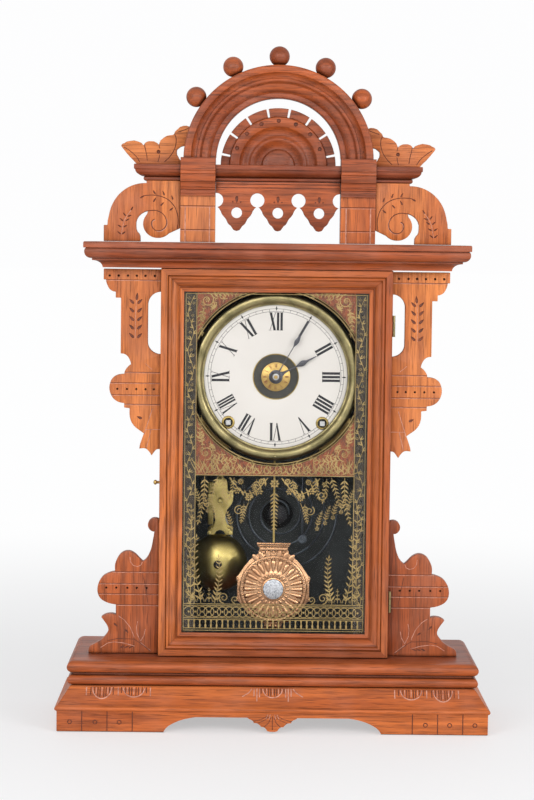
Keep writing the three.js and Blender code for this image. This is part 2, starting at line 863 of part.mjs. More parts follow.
function door() {
  const corner = (sideX, end) => ([inward, depth]) => [
    sideX * (caseHalf - inward),
    doorBack - depth,
    doorZ[end] + (end ? -inward : inward),
  ];
  const corners = [corner(-1, 0), corner(1, 0), corner(1, 1), corner(-1, 1)];
  add("door_frame", sweep(doorSection, corners, true), walnut());

  const edge = doorFace - glassLap + glueGap;
  const y = [doorBack - 4 + glueGap, doorBack - 4 + glueGap + glassThickness];
  const x = [edge - caseHalf, caseHalf - edge];
  add("door_glass", box(x, y, [doorZ[0] + edge, doorZ[1] - edge]), stencilledGlass());

  const profile = [[0, 0], [1.2, 0], [1.2, 2.4], [catchRadius, 3], [catchRadius, 4], [1.4, 5.2], [0, 5.2]];
  const knob = lathed(profile, 14);
  knob.translate(-caseHalf - glueGap, doorBack - doorThickness / 2, doorZ[1] - catchDrop);
  add("door_catch_pin", solid(knob), brass());
}

// The leaf that is screwed to the case, with its two knuckles and the pin. The middle third
// is left free for the door's own knuckle.
function hinge(middle) {
  const [third, end] = [hingeLength / 6, hingeLength / 2];
  const leafY = [doorBack + 0.2, caseFront - glueGap];
  const leafX = [caseHalf - sideThickness + 1, hingeX];
  const leaf = box(leafX, leafY, [middle - end, middle + end]);
  const freeX = [caseHalf - 0.4, hingeX + through];
  const free = box(freeX, leafY, [middle - third, middle + third]);
  const upright = (radius, z) => {
    const profile = [[0, z[0]], [radius, z[0]], [radius, z[1]], [0, z[1]]];
    return solid(lathed(profile, 14, true).translate(hingeX, hingeY, 0));
  };
  return join(
    cut(leaf, free),
    upright(knuckleRadius, [middle - end, middle - third]),
    upright(knuckleRadius, [middle + third, middle + end]),
    upright(knuckleRadius / 2, [middle - end, middle + end]),
  );
}

function hinges() {
  add("hinge_upper", hinge(doorZ[1] - hingeInset), oldBrass());
  add("hinge_lower", hinge(doorZ[0] + hingeInset), oldBrass());
}

// ---------------------------------------------------------------- dial and hands

function dial() {
  const y = [dialFront, dialFront + dialThickness];
  const holes = [circle(0, dialZ, dialHole, 28)];
  for (const side of [-1, 1]) holes.push(circle(side * windingX, dialZ + windingZ, 3.9, 16));
  const feet = [[-48, 25], [48, 25], [-26, -52], [26, -52]].map(([x, z]) =>
    pin(x, dialZ + z, 2, [dialFront + dialThickness / 2, plateFront - glueGap], 12),
  );
  const face = plate(circle(0, dialZ, dialRadius + dialLap, 36), y, holes);
  add("dial_plate", join(face, ...feet), dialWhite());

  const rebate = dialRadius + dialLap + glueGap;
  const depth = (d) => dialFront - d;
  const profile = [
    [dialRadius, depth(glueGap)],
    [dialRadius, depth(2.7)],
    [dialRadius + 2.5, depth(5)],
    [dialRadius + 6.5, depth(6)],
    [bezelRadius - 1, depth(4.6)],
    [bezelRadius, depth(2)],
    [bezelRadius, depth(-1.6)],
    [rebate, depth(-1.6)],
    [rebate, depth(glueGap)],
    [dialRadius, depth(glueGap)],
  ];
  add("dial_bezel", turned(profile, 0, dialZ, 42), oldBrass());
}

// A hand that points past twelve by so many degrees: a thin blade, a lozenge and a tip.
function hand(length, boss, hole, lozenge, angle, y) {
  const half = [
    [boss * 0.5, boss * 0.8],
    [0.9, boss + 3],
    [0.6, lozenge - 5],
    [3.4, lozenge],
    [0.8, lozenge + 5],
    [0.15, length],
  ];
  const outline = [...half, ...half.map(([x, z]) => [-x, z]).reverse()];
  const turn = ([x, z]) => {
    const [c, s] = [Math.cos(angle * degree), Math.sin(angle * degree)];
    return [x * c + z * s, dialZ - x * s + z * c];
  };
  const bore = plate(circle(0, dialZ, hole, 16), [y[0] - through, y[1] + through]);
  return cut(join(plate(outline.map(turn), y), pin(0, dialZ, boss, y, 20)), bore);
}

const hourPipe = 3.6;
const hourHandY = [dialFront - 3, dialFront - 3 + handThickness];
const minuteHandY = [dialFront - 4.8, dialFront - 4.8 + handThickness];

function hands() {
  const hour = hand(hourHandLength, 6.2, hourPipe + glueGap, 28, hourAngle, hourHandY);
  const minute = hand(minuteHandLength, 3.6, arborRadius + glueGap, 38, minuteAngle, minuteHandY);
  add("hour_hand", hour, blackSteel());
  add("minute_hand", minute, blackSteel());
  const y = [dialFront - 1, dialFront - 0.4];
  const disc = sleeve(0, dialZ, hourPipe + 0.7, alarmDiscRadius, y, 24);
  const tube = sleeve(0, dialZ, hourPipe + 0.7, hourPipe + 1.9, [y[0], dialFront + 1.2], 18);
  add("alarm_disc", join(disc, tube), brass());
}

// ---------------------------------------------------------------- movement

const ahead = (distance) => plateFront - distance; // in front of the front plate
const behind = (distance) => plateBack + distance; // behind the front plate
const arborEnd = backPlateFront + plateThickness - glueGap;
const greatDistance = ((greatTeeth + secondPinionTeeth) * trainModule) / 2;
const secondDistance = ((secondTeeth + centreTeeth) * secondModule) / 2;
const motionDistance = ((cannonTeeth + minuteTeeth) * motionModule) / 2;

// The second arbor stands where its wheel meets the centre and its pinion the great wheel.
function secondArbor() {
  const span = Math.hypot(windingX, windingZ);
  const along = (greatDistance ** 2 - secondDistance ** 2 + span ** 2) / (2 * span);
  const aside = Math.sqrt(Math.max(greatDistance ** 2 - along ** 2, 0));
  const [ux, uz] = [-windingX / span, -windingZ / span];
  return [windingX + ux * along + uz * aside, windingZ + uz * along - ux * aside];
}

const [secondX, secondZ] = secondArbor();
const direction = (fromX, fromZ, toX, toZ) => Math.atan2(toZ - fromZ, toX - fromX) / degree;

function plates() {
  const hole = (x, z, radius) => circle(x, dialZ + z, radius + pivotGap, 14);
  const holes = () => [
    hole(0, 0, arborRadius),
    hole(secondX, secondZ, arborRadius),
    hole(0, escapeRise, arborRadius),
    hole(0, suspensionRise, arborRadius),
    hole(-windingX, windingZ, windingRadius),
    hole(windingX, windingZ, windingRadius),
  ];
  const outline = [
    [-plateHalf, plateBottom + 12],
    [-plateHalf + 12, plateBottom],
    [plateHalf - 12, plateBottom],
    [plateHalf, plateBottom + 12],
    [plateHalf, plateTop - 6],
    [plateHalf - 6, plateTop],
    [6 - plateHalf, plateTop],
    [-plateHalf, plateTop - 6],
  ].map(([x, z]) => [x, dialZ + z]);
  const stud = pin(-motionDistance, dialZ, 1.3, [ahead(8.6), plateFront + 0.5], 12);
  const cock = box([-2.4, 2.4], [ahead(5), plateFront + 0.5], [dialZ + 43, dialZ + plateTop - 0.5]);
  const drop = box([-2.4, 2.4], [ahead(5), ahead(4.2)], [dialZ + 34.5, dialZ + 44]);
  const stubY = [ahead(4.6), ahead(1.6)];
  const stub = pin(0, dialZ + suspensionRise, 1, stubY, 12);
  const frontBody = plate(outline, [plateFront, plateBack], holes());
  add("movement_front_plate", join(frontBody, stud, cock, drop, stub), brass());

  const corners = [[-50, 39], [50, 39], [-9, -57], [9, -57]];
  const pillars = corners.map(([x, z]) =>
    pin(x, dialZ + z, platePillarRadius, [behind(glueGap), backboardFront - glueGap], 12),
  );
  const back = plate(outline, [backPlateFront, backPlateFront + plateThickness], holes());
  add("movement_back_plate", join(back, ...pillars), brass());
}

function motionWork() {
  const cannonY = [ahead(5.6), ahead(4)];
  const minuteY = [ahead(5.4), ahead(4.2)];
  const pinionY = [ahead(7.6), ahead(5)];
  const hourY = [ahead(7.4), ahead(6.2)];
  const centre = join(
    pin(0, dialZ, arborRadius, [minuteHandY[0] - 1.6, arborEnd], 16),
    pin(0, dialZ, 2.6 - glueGap, [hourHandY[0] - 0.8, cannonY[0] + 0.1], 16),
    gear(0, dialZ, cannonTeeth, motionModule, cannonY, 180),
    gear(0, dialZ, centreTeeth, secondModule, [behind(12), behind(15)], centrePhase()),
  );
  add("centre_wheel", centre, brass());
  const idle = join(
    gear(-motionDistance, dialZ, minuteTeeth, motionModule, minuteY, meshing(minuteTeeth, 0), 1.6),
    gear(-motionDistance, dialZ, minutePinionTeeth, motionModule, pinionY, 0, 1.6),
  );
  add("minute_wheel", idle, brass());
  const pipe = sleeve(0, dialZ, 2.6, hourPipe, [hourHandY[0] - 0.4, hourY[1]], 20);
  const hourGear = gear(0, dialZ, hourTeeth, motionModule, hourY, meshing(hourTeeth, 180), 3);
  add("hour_wheel", join(pipe, hourGear), brass());
}

const centrePhase = () => direction(0, 0, secondX, secondZ);

function timeTrain() {
  const toCentre = direction(secondX, secondZ, 0, 0);
  const toGreat = direction(secondX, secondZ, windingX, windingZ);
  const z = dialZ + secondZ;
  const secondPhase = meshing(secondTeeth, toCentre);
  const second = join(
    pin(secondX, z, arborRadius, [plateFront + glueGap, arborEnd], 14),
    gear(secondX, z, secondTeeth, secondModule, [behind(12.8), behind(14.3)], secondPhase),
    gear(secondX, z, secondPinionTeeth, trainModule, [behind(4), behind(9)], toGreat),
  );
  add("second_wheel", second, brass());
  const greatPhase = meshing(greatTeeth, toGreat + 180);
  const bore = windingRadius + pivotGap;
  const y = [behind(5.2), behind(7.4)];
  const greatZ = dialZ + windingZ;
  add("time_great_wheel", gear(windingX, greatZ, greatTeeth, trainModule, y, greatPhase, bore), brass());
  add("strike_great_wheel", gear(-windingX, greatZ, greatTeeth, trainModule, y, 0, bore), brass());
}

function windingArbor(x) {
  const z = dialZ + windingZ;
  const half = 2.1;
  const square = box([x - half, x + half], [dialFront - 2.4, plateFront - 1], [z - half, z + half]);
  return join(square, pin(x, z, windingRadius, [plateFront - 1.2, arborEnd], 16));
}

// A coiled strip: a spiral band round a front-to-back axis.
function spiral(x, z, inner, outer, turns, band, y, perTurn) {
  const steps = Math.round(turns * perTurn);
  const side = (offset) =>
    Array.from({ length: steps + 1 }, (_, i) => {
      const radius = inner + ((outer - inner) * i) / steps + offset;
      const angle = (i / perTurn) * 360;
      return arc(x, z, radius, angle, angle, 1)[0];
    });
  return plate([...side(-band / 2), ...side(band / 2).reverse()], y);
}

function powers() {
  for (const [name, x] of [["time", windingX], ["strike", -windingX]]) {
    const y = [behind(17), behind(31)];
    add(name + "_winding_arbor", windingArbor(x), steel());
    add(name + "_mainspring", spiral(x, dialZ + windingZ, 5, 22, 4.5, 1, y, 16), steel());
  }
}

function escapement() {
  const wheelY = [behind(22), behind(23.2)];
  const step = 360 / escapeTeeth;
  const outline = [];
  for (let i = 0; i < escapeTeeth; i += 1) {
    outline.push(arc(0, dialZ + escapeRise, escapeRadius, i * step, 0, 1)[0]);
    outline.push(arc(0, dialZ + escapeRise, escapeRadius - 2, i * step + step * 0.35, 0, 1)[0]);
  }
  const arbor = pin(0, dialZ + escapeRise, arborRadius, [plateFront + glueGap, arborEnd], 14);
  add("escape_wheel", join(plate(outline, wheelY), arbor), brass());

  const pivot = dialZ + suspensionRise;
  const strip = [
    [-3, 2.6],
    [-8.6, -1.6],
    [-9.8, -5.4],
    [-8.4, -5.2],
    [-6.6, -2],
    [0, -2.8],
    [6.6, -2],
    [8.4, -5.2],
    [9.8, -5.4],
    [8.6, -1.6],
    [3, 2.6],
  ].map(([x, z]) => [x, pivot + z]);
  const crutchY = [ahead(1.3), ahead(0.5)];
  const crutch = box([-0.8, 0.8], crutchY, [pivot - 26, pivot]);
  const bridge = box([-2.3, 2.3], crutchY, [pivot - 26, pivot - 24]);
  const prong = (side) => {
    const x = [side * 1.4, side * 2.3].sort((a, b) => a - b);
    return box(x, [ahead(4), ahead(0.5)], [pivot - 26, pivot - 24]);
  };
  const verge = join(
    pin(0, pivot, arborRadius, [ahead(1.3), arborEnd], 14),
    plate(strip, wheelY),
    crutch,
    bridge,
    prong(-1),
    prong(1),
  );
  add("verge", verge, steel());
}

// Outline of the sheet that the bob is pressed from: crown, ears and tail.
function bobMount() {
  const half = [
    [15, crownRise],
    [15, crownRise - 3],
    [12.5, crownRise - 4],
    [13.5, bobRadius + 1.6],
    [bobRadius * 0.7, bobRadius * 0.86],
    [bobRadius, bobRadius * 0.45],
    [bobRadius + 4.3, bobRadius * 0.32],
    [bobRadius + 4.3, -bobRadius * 0.35],
    [bobRadius, -bobRadius * 0.4],
    [8, -bobRadius - 1],
    [8, -bobRadius - 6],
  ];
  return [...half, ...mirrored(half)];
}

function pendulum() {
  const y = [rodY - rodWidth / 2, rodY + rodWidth / 2];
  const half = rodWidth / 2;
  const top = dialZ + suspensionRise;
  const eye = 6.2; // lets the rod swing round the centre arbor
  const bobZ = top - pendulumLength;
  const rodEnd = bobZ + crownRise + glueGap;
  const rod = join(
    sleeve(0, top, 1.4, 2.8, y, 16),
    box([-half, half], y, [dialZ + eye + 0.4, top - 2]),
    sleeve(0, dialZ, eye, eye + 1.4, y, 24),
    box([-half, half], y, [rodEnd, dialZ - eye - 0.4]),
  );
  add("pendulum_rod", rod, steel());
  const depth = (share) => rodY - (bobThickness / 2) * share;
  const profile = [
    [0, depth(-0.8)],
    [bobRadius * 0.8, depth(-0.6)],
    [bobRadius, depth(-0.1)],
    [bobRadius, depth(0.2)],
    [bobRadius * 0.86, depth(0.8)],
    [bobRadius * 0.5, depth(0.7)],
    [bobRadius * 0.33, depth(1)],
    [0, depth(1)],
  ];
  const mount = plate(
    bobMount().map(([x, z]) => [x, bobZ + z]),
    [rodY - 0.6, rodY + 0.6],
  );
  add("pendulum_bob", join(turned(profile, 0, bobZ, 28), mount), copperGilt());
}

// ---------------------------------------------------------------- gong and alarm

const hammerY = gongFront - 9;
const hammerX = gongX + 22.5;
const hammerPivotZ = dialZ + plateBottom + 12;

function gong() {
  const y = [gongFront, gongFront + gongWire];
  const coil = spiral(gongX, gongZ, gongInner, gongOuter, gongTurns, gongWire, y, 20);
  add("gong_coil", coil, blackSteel());
  const post = gongInner - gongWire / 2 - glueGap;
  const profile = [
    [0, gongFront - 3],
    [4, gongFront - 3],
    [post, gongFront - 1],
    [post, gongFront + gongWire + 1],
    [14, backboardFront - 4],
    [14, backboardFront - glueGap],
    [0, backboardFront - glueGap],
  ];
  add("gong_block", turned(profile, gongX, gongZ, 20), castIron());

  const headZ = gongZ - 21;
  const arm = rod([hammerX, hammerY, headZ], [hammerX, hammerY, hammerPivotZ], 0.9);
  const head = pin(hammerX, headZ, 4, [hammerY - 5, gongFront - 1.6], 14);
  const axle = new THREE.CylinderGeometry(1.5, 1.5, 16, 12).rotateZ(Math.PI / 2);
  const arbor = solid(axle.translate(hammerX, hammerY, hammerPivotZ));
  add("gong_hammer", join(arm, head, arbor), steel());
}

// The bell opens towards the back and stands on a post from the backboard.
function bell() {
  const rimY = bellFront + bellDepth;
  const dome = (shrink) =>
    arc(0, 0, bellRadius - shrink, 0, 78, 6, bellDepth - shrink).map(([r, h]) => [r, rimY - h]);
  const [outer, inner] = [dome(0).reverse(), dome(bellWall).slice(0, -1)];
  const post = 3;
  const crown = bellFront - 1.4;
  const profile = [
    [0, crown],
    [2.4, crown],
    [2.4, outer[0][1]],
    ...outer,
    ...inner,
    [post, bellFront + bellWall + 0.6],
    [post, backboardFront - glueGap],
    [0, backboardFront - glueGap],
  ];
  add("alarm_bell", turned(profile, bellX, bellZ, 22), brass());
}

function alarm() {
  const x = [alarmX - alarmWidth / 2, alarmX + alarmWidth / 2];
  const z = [alarmZ, alarmZ + alarmHeight];
  const near = bellFront - 6;
  const far = near + alarmDepth;
  const farBack = far + alarmPlate;
  const corner = 3; // from the edges of the plates to the pillars
  const pillars = [0, 1, 2, 3].map((i) => {
    const side = i % 2 ? x[1] - corner : x[0] + corner;
    const end = i < 2 ? z[0] + corner : z[1] - corner;
    return pin(side, end, 1.6, [near + alarmPlate / 2, far + alarmPlate / 2], 10);
  });
  const springZ = z[1] - 16;
  const frame = join(
    box(x, [near, near + alarmPlate], z),
    box(x, [far, farBack], z),
    ...pillars,
    pin(alarmX, springZ, 8.5, [near + 3, far + alarmPlate / 2], 18),
    pin(alarmX, springZ, 2, [near - 6, near + 4], 12),
    box([x[0], x[0] + 5], [far + 0.2, backboardFront - glueGap], [z[0] + 6, z[1] - 6]),
  );
  add("alarm_frame", frame, brass());

  const armY = farBack + 1.6;
  const pivot = [alarmX, armY, alarmZ + 26];
  const head = [bellX + bellRadius - 6.6, armY, bellZ + 1];
  const boss = pin(pivot[0], pivot[2], 2.4, [farBack + 0.6, farBack + 3.4], 14);
  const knob = pin(head[0], head[2], 2.8, [bellFront + bellDepth - 2.5, armY + 1], 12);
  add("alarm_hammer", join(rod(pivot, head, 0.8), boss, knob), steel());
}

// ---------------------------------------------------------------- the whole clock

baseBoards();
plinthBoard();
caseShell();
cornice();
posts();
shelf();
arch();
balls();
fan();
pendantBoard();
scrollBrackets();
shells();
sideBrackets();
door();
hinges();
dial();
hands();
plates();
motionWork();
timeTrain();
powers();
escapement();
pendulum();
gong();
bell();
alarm();

export default clock;
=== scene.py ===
"""Carved walnut shelf clock: the looks of every piece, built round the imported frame.

Sizes are written in millimetres and turned into metres when a mesh is made. The front of the
clock faces -Y, +Z is up and +X is to the right of somebody who reads the dial.
"""

import logging
import math
from dataclasses import dataclass, field
from enum import Enum
from typing import Callable, Dict, List, Optional, Sequence, Tuple

import bmesh
import bpy
from mathutils import Matrix, Vector


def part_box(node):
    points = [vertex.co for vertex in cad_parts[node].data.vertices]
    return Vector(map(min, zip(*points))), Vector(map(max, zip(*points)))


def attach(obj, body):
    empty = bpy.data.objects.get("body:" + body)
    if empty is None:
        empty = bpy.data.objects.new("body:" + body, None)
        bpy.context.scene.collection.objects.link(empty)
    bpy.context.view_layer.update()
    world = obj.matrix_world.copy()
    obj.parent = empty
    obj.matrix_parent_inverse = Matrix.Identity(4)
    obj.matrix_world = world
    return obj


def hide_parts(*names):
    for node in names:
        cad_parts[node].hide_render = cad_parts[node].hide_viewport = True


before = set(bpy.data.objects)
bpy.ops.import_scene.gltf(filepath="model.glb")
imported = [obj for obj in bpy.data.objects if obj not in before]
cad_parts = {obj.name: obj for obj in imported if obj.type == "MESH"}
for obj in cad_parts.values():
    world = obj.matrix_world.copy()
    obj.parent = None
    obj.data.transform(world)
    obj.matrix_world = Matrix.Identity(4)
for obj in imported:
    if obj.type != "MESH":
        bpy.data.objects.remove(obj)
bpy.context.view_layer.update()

log = logging.getLogger("shelf_clock")

MM = 0.001
Colour = Tuple[float, float, float]
Flat = Tuple[float, float]
Place = Tuple[float, float, float]
Outline = List[Flat]


# ------------------------------------------------------------------ places taken from the frame


def extent(node: str) -> Tuple[Vector, Vector]:
    """Give a node's lowest and highest corners.

    Args:
        node: Name of the CAD node.

    Returns:
        The two corners, in millimetres.
    """
    low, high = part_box(node)
    return low / MM, high / MM


DIAL_Z = 308.2
CORNICE_Z = 403.5
CORNICE_TOP = 426.0
PLINTH_TOP = 60.4
CASE_HALF = 101.5
CASE_FRONT = -19.0
DOOR_BACK = -20.3
BACK = 68.0
EDGE_FRONT = -51.5
EDGE_HALF = 173.4
BASE_STEP = 14.6
SHELF_Z = 479.8
SHELF_TOP = 494.1
CAP_TOP = 500.2
ARCH_Z = 498.2
GAP = 0.3


# ------------------------------------------------------------------ shader sums


class Link:
    """A value inside a material; sums on it are written as on plain numbers."""

    def __init__(self, shade: "Shade", socket: bpy.types.NodeSocket) -> None:
        """Keep the socket and the material it belongs to."""
        self.shade = shade
        self.socket = socket

    def sum(self, operation: str, *values: object) -> "Link":
        """Add a Math node.

        Args:
            operation: The node's operation.
            values: Its inputs, in order.

        Returns:
            The node's result.
        """
        return self.shade.node("ShaderNodeMath", {"operation": operation}, dict(enumerate(values)))

    def __add__(self, other: object) -> "Link":
        """Add."""
        return self.sum("ADD", self, other)

    def __radd__(self, other: object) -> "Link":
        """Add to a plain number."""
        return self.sum("ADD", other, self)

    def __sub__(self, other: object) -> "Link":
        """Subtract."""
        return self.sum("SUBTRACT", self, other)

    def __rsub__(self, other: object) -> "Link":
        """Subtract from a plain number."""
        return self.sum("SUBTRACT", other, self)

    def __mul__(self, other: object) -> "Link":
        """Multiply."""
        return self.sum("MULTIPLY", self, other)

    def __rmul__(self, other: object) -> "Link":
        """Multiply a plain number."""
        return self.sum("MULTIPLY", other, self)

    def sine(self) -> "Link":
        """Give the sine."""
        return self.sum("SINE", self)

    def power(self, exponent: float) -> "Link":
        """Raise to a power."""
        return self.sum("POWER", self, exponent)

    def between(self, low: float, high: float) -> "Link":
        """Rise smoothly from 0 at low to 1 at high.

        Args:
            low: Value that gives 0.
            high: Value that gives 1.

        Returns:
            The smooth step.
        """
        return self.shade.node(
            "ShaderNodeMapRange",
            {"interpolation_type": "SMOOTHSTEP"},
            {"Value": self, "From Min": low, "From Max": high},
        )


class Shade:
    """A material under construction, with one Principled surface."""

    def __init__(self, name: str) -> None:
        """Make an empty material.

        Args:
            name: The material's name.
        """
        self.material = bpy.data.materials.new(name)
        self.material.use_nodes = True
        self.tree = self.material.node_tree
        self.tree.nodes.clear()
        self.output = self.tree.nodes.new("ShaderNodeOutputMaterial")
        self.surface = self.tree.nodes.new("ShaderNodeBsdfPrincipled")
        self.tree.links.new(self.surface.outputs[0], self.output.inputs["Surface"])

    def feed(self, socket: bpy.types.NodeSocket, value: object) -> None:
        """Set a socket to a plain value or link it.

        Args:
            socket: The socket.
            value: A number, a tuple or a Link.
        """
        if isinstance(value, Link):
            self.tree.links.new(value.socket, socket)
        elif isinstance(value, tuple) and socket.type == "RGBA" and len(value) == 3:
            socket.default_value = (*value, 1.0)
        else:
            socket.default_value = value

    def node(
        self,
        kind: str,
        settings: Optional[Dict[str, object]] = None,
        sockets: Optional[Dict[object, object]] = None,
        out: object = 0,
    ) -> Link:
        """Add any node.

        Args:
            kind: The node's type.
            settings: Its settings, which are set first.
            sockets: Its inputs, by name or number.
            out: The output that is wanted.

        Returns:
            That output.
        """
        made = self.tree.nodes.new(kind)
        for key, value in (settings or {}).items():
            setattr(made, key, value)
        for key, value in (sockets or {}).items():
            self.feed(made.inputs[key], value)
        return Link(self, made.outputs[out])

    def at(self, scale: Place = (1, 1, 1), move: Place = (0, 0, 0)) -> Link:
        """Give the object's own coordinates, stretched and moved."""
        place = self.node("ShaderNodeTexCoord", out="Object")
        return self.node("ShaderNodeMapping", None,
                         {"Vector": place, "Location": move, "Scale": scale})

    def noise(self, at: Link, scale: float, detail: float = 2, twist: float = 0) -> Link:
        """Give a noise pattern from 0 to 1.

        Args:
            at: Coordinates.
            scale: Blotches in a metre.
            detail: Finer layers.
            twist: Distortion.

        Returns:
            The noise.
        """
        sockets = {"Vector": at, "Scale": scale, "Detail": detail, "Distortion": twist}
        return self.node("ShaderNodeTexNoise", None, sockets)

    def mix(self, share: object, first: object, second: object) -> Link:
        """Mix two colours.

        Args:
            share: Share of the second colour.
            first: First colour.
            second: Second colour.

        Returns:
            The mixed colour.
        """
        sockets = {0: share, 6: first, 7: second}
        return self.node("ShaderNodeMix", {"data_type": "RGBA"}, sockets, out=2)

    def crevice(self, reach: float) -> Link:
        """Give 1 on open faces and less in corners and carving, within a reach in millimetres."""
        return self.node(
            "ShaderNodeAmbientOcclusion", {"samples": 5}, {"Distance": reach * MM}, out="AO"
        )

    def bump(self, height: Link, deep: float, strength: float = 1.0) -> None:
        """Press a height pattern into the surface.

        Args:
            height: Pattern from 0 to 1.
            deep: Depth in millimetres.
            strength: How strongly it shows.
        """
        sockets = {"Height": height, "Distance": deep * MM, "Strength": strength}
        self.feed(self.surface.inputs["Normal"], self.node("ShaderNodeBump", None, sockets))

    def set(self, **values: object) -> bpy.types.Material:
        """Set the surface's sockets; an underscore in a name stands for a space.

        Args:
            values: Values or links by socket.

        Returns:
            The material.
        """
        for key, value in values.items():
            self.feed(self.surface.inputs[key.replace("_", " ")], value)
        return self.material


def tint(red: int, green: int, blue: int) -> Colour:
    """Turn a colour as seen on a screen, 0 to 255, into light values."""

    def light(value: int) -> float:
        """Turn one channel into a light value."""
        share = value / 255
        return share / 12.92 if share <= 0.04045 else ((share + 0.055) / 1.055) ** 2.4

    return light(red), light(green), light(blue)


# ------------------------------------------------------------------ finishes


class Grain(Enum):
    """Which way the grain of a board runs, as the stretch of its pattern."""

    SIDEWAYS = (0.07, 1.0, 1.0)
    UPRIGHT = (1.0, 1.0, 0.07)
    DEEP = (1.0, 0.07, 1.0)


made_finishes: Dict[object, bpy.types.Material] = {}
# Pale haze on the old varnish, and the share of its tarnish colour that a metal's crevices darken to, as tarnish
# with painted shade.
BLOOM: Colour = tint(178, 118, 96)
SHADED_TARNISH = 0.22

# Layers of the wood's pattern: how many blotches of each lie in a metre across the grain.
TONE, FIGURE, HAZE, WAVER, STREAKS, FLECKS, PORES = 7, 16, 34, 90, 330, 720, 1700
RINGS = 95


@dataclass(frozen=True)
class Wood:
    """Varnished walnut: warm bands, growth lines, pores, and grime with painted shade in its corners."""

    slot: str
    light: Colour
    dark: Colour
    line: Colour
    gloss: float = 0.16
    rough: float = 0.44
    polish: float = 0.2

    def material(self, grain: Grain, board: int = 0) -> bpy.types.Material:
        """Give the finish of one board.

        Args:
            grain: Which way its grain runs.
            board: A number that makes its figure its own.

        Returns:
            The material.
        """
        key = (self, grain, board)
        if key in made_finishes:
            return made_finishes[key]
        shade = Shade(f"{self.slot}_{grain.name.lower()}_{board}")
        move = (0.37 * board, 0.23 * board, 0.41 * board)
        plain = shade.at((1, 1, 1), move)
        at = shade.at(grain.value, move)
        drawn_out = tuple(0.4 * v if v < 1 else v for v in grain.value)
        figure = shade.noise(at, FIGURE, 3, 0.35)
        bands = (figure * RINGS + shade.noise(at, WAVER, 2) * 2.2).sine() * 0.5 + 0.5
        streaks = shade.noise(at, STREAKS, 3)
        pores = shade.noise(shade.at(drawn_out, move), PORES, 1)
        pore = pores.between(0.57, 0.68)
        tone = shade.noise(plain, TONE, 2)
        haze = shade.noise(plain, HAZE, 3)
        flecks = shade.noise(at, FLECKS, 2)
        colour = shade.mix(figure.between(0.33, 0.66), self.dark, self.light)
        colour = shade.mix(bands.power(2.2) * 0.42, colour, self.line)
        colour = shade.mix(streaks.between(0.42, 0.7) * 0.46, colour, self.line)
        colour = shade.mix(tone.between(0.35, 0.7) * 0.22, colour, self.light)
        colour = shade.mix(flecks.between(0.5, 0.74) * 0.26, colour, self.light)
        colour = shade.mix(haze.between(0.4, 0.74) * 0.17, colour, BLOOM)
        colour = shade.mix(pore * 0.55, colour, tuple(0.4 * c for c in self.line))
        # Grime with painted shade: the colour darkens in corners and carving, where ambient occlusion finds
        # them.
        grime_and_shade = 1 - shade.crevice(4)
        colour = shade.mix(grime_and_shade.between(0.1, 0.72) * 0.84, colour,
                           tuple(0.24 * c for c in self.dark))
        shade.bump(1 - pore * 0.8 - streaks * 0.3, 0.09, 0.7)
        made_finishes[key] = shade.set(
            Base_Color=colour,
            Roughness=self.rough + streaks * 0.16 - tone * 0.06,
            Coat_Weight=self.gloss,
            Coat_Roughness=self.polish,
            Specular_IOR_Level=0.26,
        )
        return made_finishes[key]


@dataclass(frozen=True)
class Metal:
    """Worn metal: a clean colour, a tarnish in blotches, tarnish with painted shade in its corners, and fine
    scratches.
    """

    name: str
    slot: str
    clean: Colour
    tarnish: Colour
    rough: float
    worn: float = 0.5
    metallic: float = 1.0
    blotch: float = 60
    # How strongly the corners darken, as tarnish with painted shade.
    grime_and_shade: float = 0.7

    def material(self) -> bpy.types.Material:
        """Give the finish."""
        if self.name in made_finishes:
            return made_finishes[self.name]
        shade = Shade(self.name)
        at = shade.at()
        spots = shade.noise(at, self.blotch, 4, 0.4)
        fine = shade.noise(shade.at((1, 1, 9)), 900, 2)
        share = spots.between(0.35, 0.7) * self.worn
        colour = shade.mix(share, self.clean, self.tarnish)
        # Tarnish with painted shade: corners and hollows darken towards a dim tarnish colour.
        if self.grime_and_shade:
            tarnish_and_shade = (1 - shade.crevice(1.8)).between(0.08, 0.62)
            colour = shade.mix(tarnish_and_shade * self.grime_and_shade, colour, tuple(SHADED_TARNISH * c for c in self.tarnish))
        shade.bump(fine + spots * 2, 0.03, 0.4)
        made_finishes[self.name] = shade.set(
            Base_Color=colour,
            Metallic=self.metallic,
            Roughness=self.rough + share * 0.2 + fine * 0.1,
        )
        return made_finishes[self.name]


@dataclass(frozen=True)
class Matt:
    """A plain matt surface such as paper, ink, bare softwood, a carved cut's faces painted dark as shade or pale
    as dust and painted highlight, or a dark sheet of painted shade.
    """

    name: str
    slot: str
    colour: Colour
    second: Colour
    rough: float = 0.7
    blotch: float = 40
    stretch: Place = (1, 1, 1)
    coat: float = 0.0

    def material(self) -> bpy.types.Material:
        """Give the finish."""
        if self.name in made_finishes:
            return made_finishes[self.name]
        shade = Shade(self.name)
        at = shade.at(self.stretch)
        spots = shade.noise(at, self.blotch, 5, 0.3)
        fine = shade.noise(at, self.blotch * 30, 2)
        colour = shade.mix(spots.between(0.3, 0.75), self.colour, self.second)
        shade.bump(fine, 0.03, 0.4)
        made_finishes[self.name] = shade.set(
            Base_Color=colour, Roughness=self.rough + fine * 0.1, Coat_Weight=self.coat
        )
        return made_finishes[self.name]


